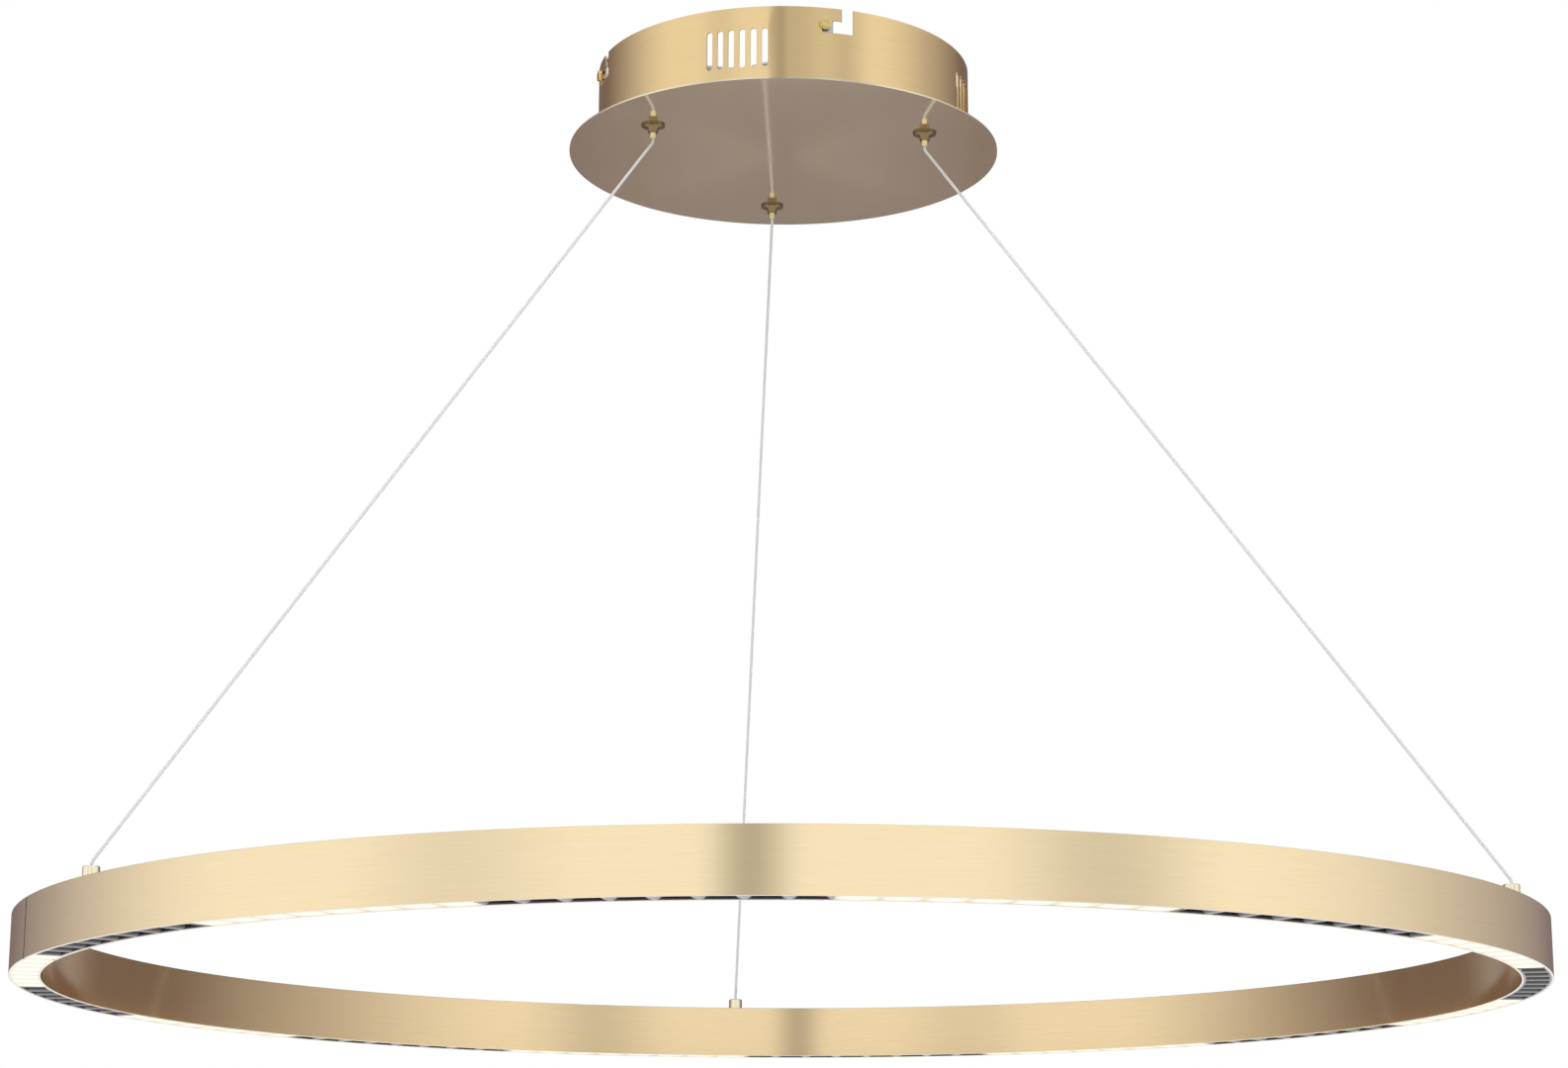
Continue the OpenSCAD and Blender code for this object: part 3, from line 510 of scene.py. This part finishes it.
def plain_metal(name, color, roughness, grain_mm=0.6, variation=0.06):
    """Turned or polished metal with faint tool marks and small changes of tone."""
    material, nodes, shader = new_material(name)
    x, y, z = nodes.object_axes()
    place = nodes.combine(x, y, nodes.times(z, MARK_STRETCH))
    marks = nodes.noise(place, 1 / (grain_mm * MARK_STRETCH * MM), detail=3.0, roughness=0.6)
    nodes.fill(shader, {
        "Base Color": nodes.mix(nodes.spread(marks, 0.0, 1.0), scaled(color, 1 - variation), color),
        "Roughness": nodes.varied(marks, roughness, MARK_ROUGHNESS),
        "Metallic": 1.0,
    })
    return material


# Moulded plastic: its blotches against its grain, how dark they are, and the grain's depth
BLOTCH_STRETCH = 30
BLOTCH_TONE = 0.88
GRAIN_DEPTH = 0.03 * MM
GRAIN_ROUGHNESS = (1.15, 0.85)


def moulded(name, color, roughness, grain_mm, bump):
    """Moulded plastic with a fine texture."""
    material, nodes, shader = new_material(name)
    place = nodes.object_place()
    grain = nodes.noise(place, 1 / (grain_mm * MM))
    blotches = nodes.noise(place, 1 / (BLOTCH_STRETCH * grain_mm * MM))
    nodes.fill(shader, {
        "Base Color": nodes.mix(nodes.spread(blotches, 0.0, 1.0), scaled(color, BLOTCH_TONE), color),
        "Roughness": nodes.varied(grain, roughness, GRAIN_ROUGHNESS),
        "Normal": nodes.bump(grain, bump, GRAIN_DEPTH),
    })
    return material


# The louvres' bars carry a painted highlight: palest below the first of these heights over the ring's lower
# edge, and black above the second
PAINTED_CREST_LOW = 0.5 * MM
PAINTED_CREST_HIGH = 1.9 * MM
LOUVRE_GRAIN = 0.5 * MM
LOUVRE_BUMP = 0.02
LOUVRE_ROUGHNESS = (0.24, 0.18)


def louvre_material():
    """Glossy black plastic, with a painted highlight that makes the bars paler at their lower edges."""
    material, nodes, shader = new_material("louvre_black")
    height = nodes.object_axes()[2]
    grain = nodes.noise(nodes.object_place(), 1 / LOUVRE_GRAIN)
    # Painted highlight: a paler base colour on the bars' lower edges
    painted_crest_highlight = nodes.fall(height, RING_BOTTOM + PAINTED_CREST_LOW, RING_BOTTOM + PAINTED_CREST_HIGH)
    nodes.fill(shader, {
        "Base Color": nodes.mix(painted_crest_highlight, rgb(0.012, 0.011, 0.013), rgb(0.14, 0.13, 0.145)),
        "Roughness": nodes.spread(grain, *LOUVRE_ROUGHNESS),
        "Normal": nodes.bump(grain, LOUVRE_BUMP, GRAIN_DEPTH),
    })
    return material


def ring_places(nodes):
    """The position along the ring in cells, kept positive, and the distance from the band's middle."""
    x, y, _ = nodes.object_axes()
    turn = nodes.math("ARCTAN2", x, nodes.times(y, -1.0))
    share = nodes.plus(nodes.math("DIVIDE", turn, 2 * pi), 2 - MODULE_TURN / 360)
    off_mid = nodes.math("ABSOLUTE", nodes.minus(nodes.from_axis(x, y), RING_MID))
    return nodes.times(share, MODULE_COUNT * CELLS), off_mid


# Lit opal. The first three spans run from the middle of a cell or rib, at 0, to its ends, at 0.5, and the
# fourth runs across the band
GLOW_SPAN = (0.1, 0.45)
JOINT_LINE_SPAN = (0.36, 0.48)
RIB_SPAN = (0.3, 0.5)
OPAL_SIDE_SPAN = (5.0 * MM, 8.4 * MM)
RIBS_PER_CELL = 8
RIB_STRENGTH = 0.10
JOINT_STRENGTH = 0.5
OPAL_STRENGTH = 0.94
OPAL_ROUGHNESS = (0.42, 0.34)


def opal_material():
    """Lit opal: cream white, softer towards the sides, with a thin line between its cells and fine ribs."""
    material, nodes, shader = new_material("opal_lit")
    place, off_mid = ring_places(nodes)
    away = nodes.off_centre(place)
    joint_line = nodes.rise(away, *JOINT_LINE_SPAN)
    glow = nodes.fall(away, *GLOW_SPAN)
    rib_line = nodes.rise(nodes.off_centre(nodes.times(place, RIBS_PER_CELL)), *RIB_SPAN)
    edge = nodes.rise(off_mid, *OPAL_SIDE_SPAN)
    cream = rgb(1.0, 0.955, 0.83)
    white = rgb(1.0, 0.985, 0.93)
    lit = nodes.mix(nodes.times(glow, nodes.minus(1.0, edge)), cream, white)
    ribbed = nodes.mix(nodes.times(rib_line, RIB_STRENGTH), lit, rgb(0.93, 0.84, 0.66))
    nodes.fill(shader, {
        "Emission Color": nodes.mix(nodes.times(joint_line, JOINT_STRENGTH), ribbed, rgb(0.74, 0.66, 0.52)),
        "Emission Strength": OPAL_STRENGTH,
        "Specular IOR Level": 0.0,
        "Base Color": nodes.mix(joint_line, rgb(0.11, 0.105, 0.095), rgb(0.08, 0.07, 0.055)),
        "Roughness": nodes.remap(glow, 0.0, 1.0, *OPAL_ROUGHNESS),
    })
    return material


# The chips' lit faces are further below the boards than this
CHIP_FACE = 0.9 * MM
CHIP_STRENGTH = 0.25
MOTTLE_SCALE = 900.0
BOARD_ROUGHNESS = (0.35, 0.5)


def board_material():
    """White solder mask, with lit chips on the underside."""
    material, nodes, shader = new_material("light_board")
    height = nodes.object_axes()[2]
    board_low = highest("led_boards").z - BOARD_THICK
    chip = nodes.math("LESS_THAN", height, board_low - CHIP_FACE)
    mottle = nodes.noise(nodes.object_place(), MOTTLE_SCALE)
    mask = nodes.mix(mottle, rgb(0.74, 0.76, 0.73), rgb(0.84, 0.85, 0.82))
    nodes.fill(shader, {
        "Base Color": nodes.mix(chip, mask, rgb(0.9, 0.8, 0.3)),
        "Emission Color": nodes.mix(chip, rgb(0, 0, 0), rgb(1.0, 0.9, 0.7)),
        "Emission Strength": CHIP_STRENGTH,
        "Roughness": nodes.spread(mottle, *BOARD_ROUGHNESS),
    })
    return material


# Clear plastic: its haze, and where its rim's painted shade begins and ends as the surface turns away
HAZE_SCALE = 700.0
HAZE_TONE = 1.03
HAZE_ROUGHNESS = (0.7, 1.3)
RIM_BLEND = 0.3
RIM_SPAN = (0.45, 0.85)


def clear_material(name, tint, roughness, ior=1.46, rim_shade_share=0.9, clearness=1.0):
    """Clear plastic with a faint haze, and painted shade that greys it where it is seen along its surface."""
    material, nodes, shader = new_material(name)
    haze = nodes.noise(nodes.object_place(), HAZE_SCALE)
    weight = nodes.add("ShaderNodeLayerWeight")
    weight.inputs["Blend"].default_value = RIM_BLEND
    # Painted shade: a greyer base colour where the surface turns away
    rim = nodes.rise(weight.outputs["Facing"], *RIM_SPAN)
    hazy = nodes.mix(haze, tint, scaled(tint, HAZE_TONE))
    nodes.fill(shader, {
        "Base Color": nodes.mix(rim, hazy, scaled(tint, rim_shade_share)),
        "Roughness": nodes.varied(haze, roughness, HAZE_ROUGHNESS),
        "Transmission Weight": clearness,
        "IOR": ior,
    })
    return material


# Finishes. Brushed: colour, how much darker its streaks are, roughness and anisotropy. Plain: colour,
# roughness, grain in millimetres and variation. Moulded: colour, roughness, grain and bump. Clear: tint,
# roughness, refraction, how grey its rim's painted shade is, and how clear it is
ring_brass = brushed_metal("ring_brass", rgb(0.96, 0.785, 0.50), 0.06, 0.12, 0.5)
# A darker copy of ring_brass for the inner wall: painted shade
shaded_inner_brass = brushed_metal("shaded_inner_brass", rgb(0.88, 0.69, 0.41), 0.06, 0.12, 0.5)
canopy_brass = brushed_metal("canopy_brass", rgb(0.85, 0.64, 0.335), 0.07, 0.17, 0.8)
disc_brass = brushed_metal("disc_brass", rgb(0.95, 0.83, 0.61), 0.05, 0.10, 0.5, painted_fan_share=0.18)
# Nearly white brass for the lips: a painted highlight
lip_highlight_brass = brushed_metal("lip_highlight_brass", rgb(0.97, 0.92, 0.86), 0.04, 0.25, 0.3)
# Near-black brass for the cut ends and the faces beside the seam: a painted shadow in the seam
seam_shadow_brass = plain_metal("seam_shadow_brass", rgb(0.02, 0.015, 0.01), 0.7, 0.3)
polished_brass = plain_metal("polished_brass", rgb(0.84, 0.66, 0.30), 0.09)
# Dark brass for the grippers: painted shade standing in for the dark reflections on their bells
shaded_gripper_brass = plain_metal("shaded_gripper_brass", rgb(0.28, 0.205, 0.11), 0.10)
tip_brass = plain_metal("tip_brass", rgb(0.88, 0.78, 0.50), 0.12)
anchor_brass = plain_metal("anchor_brass", rgb(0.98, 0.90, 0.66), 0.12)
zinc = plain_metal("zinc_plate", rgb(0.66, 0.67, 0.69), 0.32, 1.2, 0.14)
bright_steel = plain_metal("bright_steel", rgb(0.62, 0.63, 0.65), 0.2, 0.4)
mill_aluminium = plain_metal("mill_aluminium", rgb(0.74, 0.74, 0.75), 0.38, 1.0, 0.1)
louvre_black = louvre_material()
driver_white = moulded("driver_white", rgb(0.80, 0.80, 0.77), 0.5, 0.7, 0.3)
board_green = moulded("board_green", rgb(0.05, 0.2, 0.09), 0.4, 0.3, 0.1)
lead_red = moulded("lead_red", rgb(0.45, 0.05, 0.04), 0.42, 0.5, 0.1)
conductor_film = moulded("conductor_film", rgb(0.10, 0.10, 0.11), 0.35, 0.5, 0.1)
opal_lit = opal_material()
light_board = board_material()
lens_clear = clear_material("lens_clear", rgb(0.92, 0.94, 0.96), 0.06)
sleeve_clear = clear_material("sleeve_clear", rgb(0.86, 0.865, 0.87), 0.12, 1.42, 0.80, 0.3)
core_steel = plain_metal("core_steel", rgb(0.93, 0.935, 0.94), 0.5, 0.3, 0.03)

# The finish of each material slot, and of the nodes that have another one
FINISHES = {
    "canopy_brass": canopy_brass,
    "ring_brass": ring_brass,
    "polished_brass": polished_brass,
    "bracket_steel": zinc,
    "spring_steel": bright_steel,
    "joint_aluminium": mill_aluminium,
    "louvre_black": louvre_black,
    "opal": opal_lit,
    "lens_clear": lens_clear,
    "board_white": light_board,
    "board_green": board_green,
    "driver_white": driver_white,
    "lead_red": lead_red,
    "conductor_film": conductor_film,
    "cable_sleeve": bright_steel,
}
NODE_FINISHES = {"canopy_disc": disc_brass, "driver_screws": disc_brass, "ring_anchors": anchor_brass}
for number in range(1, len(HANG_TURNS) + 1):
    NODE_FINISHES[f"gripper_body_{number}"] = shaded_gripper_brass
    NODE_FINISHES[f"release_tip_{number}"] = tip_brass


def dress_frame():
    """Gives every carried-over node its finish."""
    slot_of = {part["node"]: part["material_slot"] for part in frame["record"]["subparts"]}
    for name, obj in frame["nodes"].items():
        finish = NODE_FINISHES.get(name, FINISHES[slot_of[name]])
        for slot in obj.material_slots:
            slot.material = finish


# The ring band. Its joint bar spans the seam by a turn in degrees, with four screws at shares of that turn
JOINT_BAR_TURN = 8
SCREW_TURNS = tuple(SEAM_TURN + JOINT_BAR_TURN * share for share in (-0.36, -0.14, 0.14, 0.36))
STUD_HOLE_R = 3.05 * MM
SCREW_HEAD_R = 3.0 * MM
SCREW_HOLE_R = 1.6 * MM
SCREW_SINK = 1.7 * MM
CUT_OVER = 1 * MM
HOLE_SIDES = 32
FACE_RECESS = 0.3 * MM
BEAD_RISE = 7.1 * MM
GROOVE_HIGH = 1.2 * MM
GROOVE_DEEP = 0.5 * MM
LIP_R = 0.35 * MM
SUPPORT_GAP = 0.3 * MM
LONG_SIDE_GAPS = 4
SEAM_SHADOW = 0.7 * MM
BAND_STEPS = 960

# The band's materials, and the slots of all but the first
BAND_MATERIALS = [ring_brass, lip_highlight_brass, seam_shadow_brass, shaded_inner_brass]
LIP = 1
CUT = 2
INNER = 3


def hole_cutter(bm, turn, profile):
    """A turned cutter for a hole in the band's top, from a profile of (radius, height)."""
    middle = polar(turn, RING_MID, 0)
    rings = []
    for r, z in profile:
        rings.append([
            bm.verts.new((middle.x + r * cos(angle), middle.y + r * sin(angle), z))
            for angle in full_turn(HOLE_SIDES)
        ])
    close_tube(bm, rings)


def cut_holes(band):
    """Countersunk holes for the joint's screws and plain ones for the anchors' studs."""
    over = RING_HIGH + CUT_OVER
    under = RING_HIGH - RING_TOP - CUT_OVER
    bm = bmesh.new()
    for turn in SCREW_TURNS:
        hole_cutter(bm, turn, [
            (SCREW_HOLE_R, under),
            (SCREW_HOLE_R, RING_HIGH - SCREW_SINK),
            (SCREW_HEAD_R, RING_HIGH),
            (SCREW_HEAD_R, over),
        ])
    for turn in HANG_TURNS:
        hole_cutter(bm, turn, [(STUD_HOLE_R, under), (STUD_HOLE_R, over)])
    cutter = new_object("hole_cutter", bm, [ring_brass])
    cut = band.modifiers.new("holes", "BOOLEAN")
    cut.operation = "DIFFERENCE"
    cut.solver = "EXACT"
    cut.object = cutter
    bpy.context.view_layer.update()
    ready = band.evaluated_get(bpy.context.evaluated_depsgraph_get())
    mesh = bpy.data.meshes.new_from_object(ready)
    band.modifiers.clear()
    band.data = mesh
    mesh.set_sharp_from_angle(angle=radians(SMOOTH_BAND))
    bpy.data.objects.remove(cutter)


def with_supports(outline):
    """Extra points near both ends of every long side, so that a rounded corner's shading stays beside it."""
    points = []
    for here, ahead in zip(outline, outline[1:] + outline[:1]):
        points.append(here)
        length = (ahead - here).length
        if length > LONG_SIDE_GAPS * SUPPORT_GAP:
            points.append(here.lerp(ahead, SUPPORT_GAP / length))
            points.append(here.lerp(ahead, 1 - SUPPORT_GAP / length))
    return points


def band_outlines():
    """The band's section in (radius, height): its skin, with a channel open below, and its closed chamber."""
    web_low = RING_BOTTOM + LIGHT_DEPTH
    web_high = web_low + RING_WEB
    roof = RING_HIGH - RING_TOP
    inner_face = RING_INNER + RING_WALL
    outer_face = RING_R - RING_WALL
    inner_groove = inner_face - GROOVE_DEEP
    outer_groove = outer_face + GROOVE_DEEP
    groove_low = RING_BOTTOM + FACE_RECESS + BEAD_RISE - GROOVE_HIGH / 2
    groove_top = groove_low + GROOVE_HIGH
    skin = rounded([
        (RING_R, RING_BOTTOM, LIP_R),
        (RING_R, RING_HIGH, LIP_R),
        (RING_INNER, RING_HIGH, LIP_R),
        (RING_INNER, RING_BOTTOM, LIP_R),
        (inner_face, RING_BOTTOM, LIP_R),
        (inner_face, groove_low, 0),
        (inner_groove, groove_low, 0),
        (inner_groove, groove_top, 0),
        (inner_face, groove_top, 0),
        (inner_face, web_low, 0),
        (outer_face, web_low, 0),
        (outer_face, groove_top, 0),
        (outer_groove, groove_top, 0),
        (outer_groove, groove_low, 0),
        (outer_face, groove_low, 0),
        (outer_face, RING_BOTTOM, LIP_R),
    ])
    chamber = [(inner_face, web_high), (inner_face, roof), (outer_face, roof), (outer_face, web_high)]
    return with_supports(skin), chamber


def paint_band(bm, skins):
    """Slots by place: the lips below with a painted highlight, the inner wall with painted shade, and the
    edges beside the seam with a painted shadow.
    """
    for face in bm.faces:
        middle = face.calc_center_median()
        if middle.z < RING_BOTTOM + LIP_R / 2:
            # The lips take the pale brass: a painted highlight
            face.material_index = LIP
        elif middle.xy.length < RING_INNER + LIP_R / 2 and middle.z > RING_BOTTOM + LIP_R:
            # The inner wall takes the darker brass: painted shade
            face.material_index = INNER
    # The faces beside the seam take the near-black brass: a painted shadow
    for rings in skins:
        for vertex in rings[0] + rings[-1]:
            for face in vertex.link_faces:
                face.material_index = CUT


def close_band_end(bm, skins, end):
    """A face across the band's section at its first or last azimuth, round the chamber, in the painted seam
    shadow.
    """
    edges = []
    for rings in skins:
        ring = rings[end]
        edges.extend(bm.edges.get((ring[k - 1], ring[k])) for k in range(len(ring)))
    filled = bmesh.ops.triangle_fill(bm, edges=edges, use_beauty=True)
    for face in filled["geom"]:
        if isinstance(face, bmesh.types.BMFace):
            face.material_index = CUT


def make_band():
    """The hollow band, turned from its section, with rounded lips, snap grooves and a single seam."""
    half_gap = degrees(SEAM_GAP / 2 / RING_MID)
    shadow = degrees(SEAM_SHADOW / RING_MID)
    start = SEAM_TURN + half_gap
    sweep = 360 - 2 * half_gap
    turns = [start + sweep * i / BAND_STEPS for i in range(BAND_STEPS + 1)]
    turns.insert(1, start + shadow)
    turns.insert(-1, start + sweep - shadow)
    bm = bmesh.new()
    skins = [turned_rings(bm, outline, turns) for outline in band_outlines()]
    for rings in skins:
        join_rings(bm, rings)
    paint_band(bm, skins)
    for end in (0, -1):
        close_band_end(bm, skins, end)
    band = new_object("ring_band", bm, BAND_MATERIALS, SMOOTH_BAND)
    cut_holes(band)
    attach(band, "ring")
    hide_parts("ring_profile")


# Stage. The floor fades to white between two shares of its radius
FLOOR_Z = -1.9
FLOOR_R = 4.0
FLOOR_FADE = (0.3, 0.95)
FLOOR_SIDES = 128
FLOOR_TONE = rgb(0.86, 0.86, 0.86)

# Flags are curved studio cloths round the object: name, azimuths, heights, softness at the start, end,
# bottom and top, all in degrees, and then density and colour
FLAG_R = 1.4
FLAG_CENTRE = Vector((0, 0, -0.35))
FLAG_COLUMNS = 40
FLAG_ROWS = 16
GREY = rgb(0.23, 0.18, 0.205)
BROWN = rgb(0.19, 0.14, 0.10)
DARK = rgb(0.10, 0.10, 0.10)
FLAGS = (
    ("flag_left", (-200, -66), (-18, 75), (40, 50, 6, 20), 0.66, GREY),
    ("flag_right", (54, 200), (-18, 75), (60, 40, 6, 20), 0.66, GREY),
    ("flag_left_rear", (-193, -100), (-18, 75), (30, 42, 6, 20), 1.0, BROWN),
    ("flag_right_rear", (100, 193), (-18, 75), (44, 30, 6, 20), 1.0, BROWN),
    ("flag_camera", (-9.5, 3), (-45, 60), (6, 6.5, 15, 20), 0.56, DARK),
    ("flag_upper", (-4, 45), (12, 60), (4, 42, 8, 20), 0.40, DARK),
    ("flag_gap_left", (-54, -20), (-45, 60), (17, 17, 15, 20), 0.16, DARK),
    ("flag_gap_right", (20, 54), (-45, 60), (17, 17, 15, 20), 0.30, DARK),
)

# Lamps: name, place, size in metres and power in watts
LAMP_TARGET = Vector((0, 0, -0.4))
LAMPS = (
    ("key_lamp", (-1.8, -2.2, 1.4), 1.6, 26),
    ("fill_lamp", (2.2, -1.6, 0.6), 1.8, 14),
    ("back_lamp", (0.4, 2.4, 1.6), 1.6, 12),
)
AMBIENT_STRENGTH = 0.8


def stage_object(name, bm, material, shadow):
    obj = new_object(name, bm, [material], SMOOTH_STAGE)
    obj.visible_shadow = shadow
    return obj


def make_floor():
    """A pale round floor, clear from below, that fades into the white world and keeps the object's shadow."""
    material, nodes = empty_material("floor_pale")
    x, y, _ = nodes.object_axes()
    fade = nodes.rise(nodes.from_axis(x, y), *(FLOOR_R * share for share in FLOOR_FADE))
    pale = nodes.add("ShaderNodeBsdfDiffuse")
    pale.inputs["Color"].default_value = FLOOR_TONE
    white = nodes.add("ShaderNodeEmission")
    upper = nodes.blend(fade, pale.outputs[0], white.outputs[0])
    below = nodes.add("ShaderNodeNewGeometry").outputs["Backfacing"]
    clear = nodes.add("ShaderNodeBsdfTransparent").outputs[0]
    nodes.finish(nodes.blend(below, upper, clear))
    bm = bmesh.new()
    bmesh.ops.create_circle(bm, cap_ends=True, segments=FLOOR_SIDES, radius=FLOOR_R)
    bmesh.ops.translate(bm, verts=bm.verts, vec=(0, 0, FLOOR_Z))
    stage_object("floor", bm, material, True)


def make_lamp(name, at, size, power):
    data = bpy.data.lights.new(name, "AREA")
    data.shape = "DISK"
    data.size = size
    data.energy = power
    lamp = bpy.data.objects.new(name, data)
    bpy.context.scene.collection.objects.link(lamp)
    lamp.location = at
    lamp.rotation_mode = "QUATERNION"
    lamp.rotation_quaternion = (LAMP_TARGET - Vector(at)).to_track_quat("-Z", "Y")
    lamp.visible_glossy = False


def soft_span(nodes, value, low, high, soft_low, soft_high):
    """1 between two limits, falling smoothly to 0 inside them."""
    rise = nodes.rise(value, low, low + soft_low)
    fall = nodes.fall(value, high - soft_high, high)
    return nodes.times(rise, fall)


def flag_material(name, turns, rises, softness, cover, color):
    """Cloth with soft edges: cover is its density."""
    material, nodes = empty_material(name)
    x, y, z = nodes.object_axes()
    middle = (turns[0] + turns[1]) / 2
    cosine = cos(radians(middle))
    sine = sin(radians(middle))
    ahead = nodes.minus(nodes.times(x, sine), nodes.times(y, cosine))
    aside = nodes.plus(nodes.times(x, cosine), nodes.times(y, sine))
    turn = nodes.times(nodes.math("ARCTAN2", aside, ahead), degrees(1))
    level = nodes.minus(z, FLAG_CENTRE.z)
    rise = nodes.times(nodes.math("ARCSINE", nodes.math("DIVIDE", level, FLAG_R)), degrees(1))
    across = soft_span(nodes, turn, turns[0] - middle, turns[1] - middle, *softness[:2])
    upright = soft_span(nodes, rise, *rises, *softness[2:])
    cloth = nodes.add("ShaderNodeEmission")
    cloth.inputs["Color"].default_value = color
    clear = nodes.add("ShaderNodeBsdfTransparent").outputs[0]
    density = nodes.times(nodes.times(across, upright), cover)
    nodes.finish(nodes.blend(density, clear, cloth.outputs[0]))
    return material


def make_flag(name, turns, rises, softness, cover, color):
    """One flag, seen only in reflections."""
    bm = bmesh.new()
    grid = []
    for i in range(FLAG_COLUMNS + 1):
        turn = turns[0] + (turns[1] - turns[0]) * i / FLAG_COLUMNS
        column = []
        for k in range(FLAG_ROWS + 1):
            rise = radians(rises[0] + (rises[1] - rises[0]) * k / FLAG_ROWS)
            point = polar(turn, FLAG_R * cos(rise), FLAG_R * sin(rise)) + FLAG_CENTRE
            column.append(bm.verts.new(point))
        grid.append(column)
    for column, ahead in zip(grid, grid[1:]):
        for k in range(FLAG_ROWS):
            bm.faces.new((column[k], ahead[k], ahead[k + 1], column[k + 1]))
    cloth = flag_material(name, turns, rises, softness, cover, color)
    flag = stage_object(name, bm, cloth, False)
    flag.visible_camera = False
    flag.visible_diffuse = False
    flag.visible_transmission = False


def make_world():
    """White for what the camera, metal and clear plastic see, and a plain level for diffuse light."""
    world = bpy.data.worlds.new("studio")
    bpy.context.scene.world = world
    world.use_nodes = True
    nodes = Nodes(world.node_tree)
    path = nodes.add("ShaderNodeLightPath")
    seen = path.outputs["Is Camera Ray"]
    for kind in ("Is Glossy Ray", "Is Transmission Ray"):
        seen = nodes.math("ADD", seen, path.outputs[kind], clamp=True)
    ambient = nodes.add("ShaderNodeBackground")
    nodes.fill(ambient, {"Color": rgb(1.0, 1.0, 1.0), "Strength": AMBIENT_STRENGTH})
    white = nodes.add("ShaderNodeBackground")
    nodes.fill(white, {"Color": rgb(1.0, 1.0, 1.0)})
    nodes.finish(nodes.blend(seen, ambient.outputs[0], white.outputs[0]), "ShaderNodeOutputWorld")


make_camera()
for number, turn in enumerate(HANG_TURNS, 1):
    make_cable(number, turn, sleeve_clear, core_steel)
dress_frame()
make_band()
make_floor()
for flag in FLAGS:
    make_flag(*flag)
for lamp in LAMPS:
    make_lamp(*lamp)
make_world()
bpy.context.scene.view_settings.view_transform = "Standard"
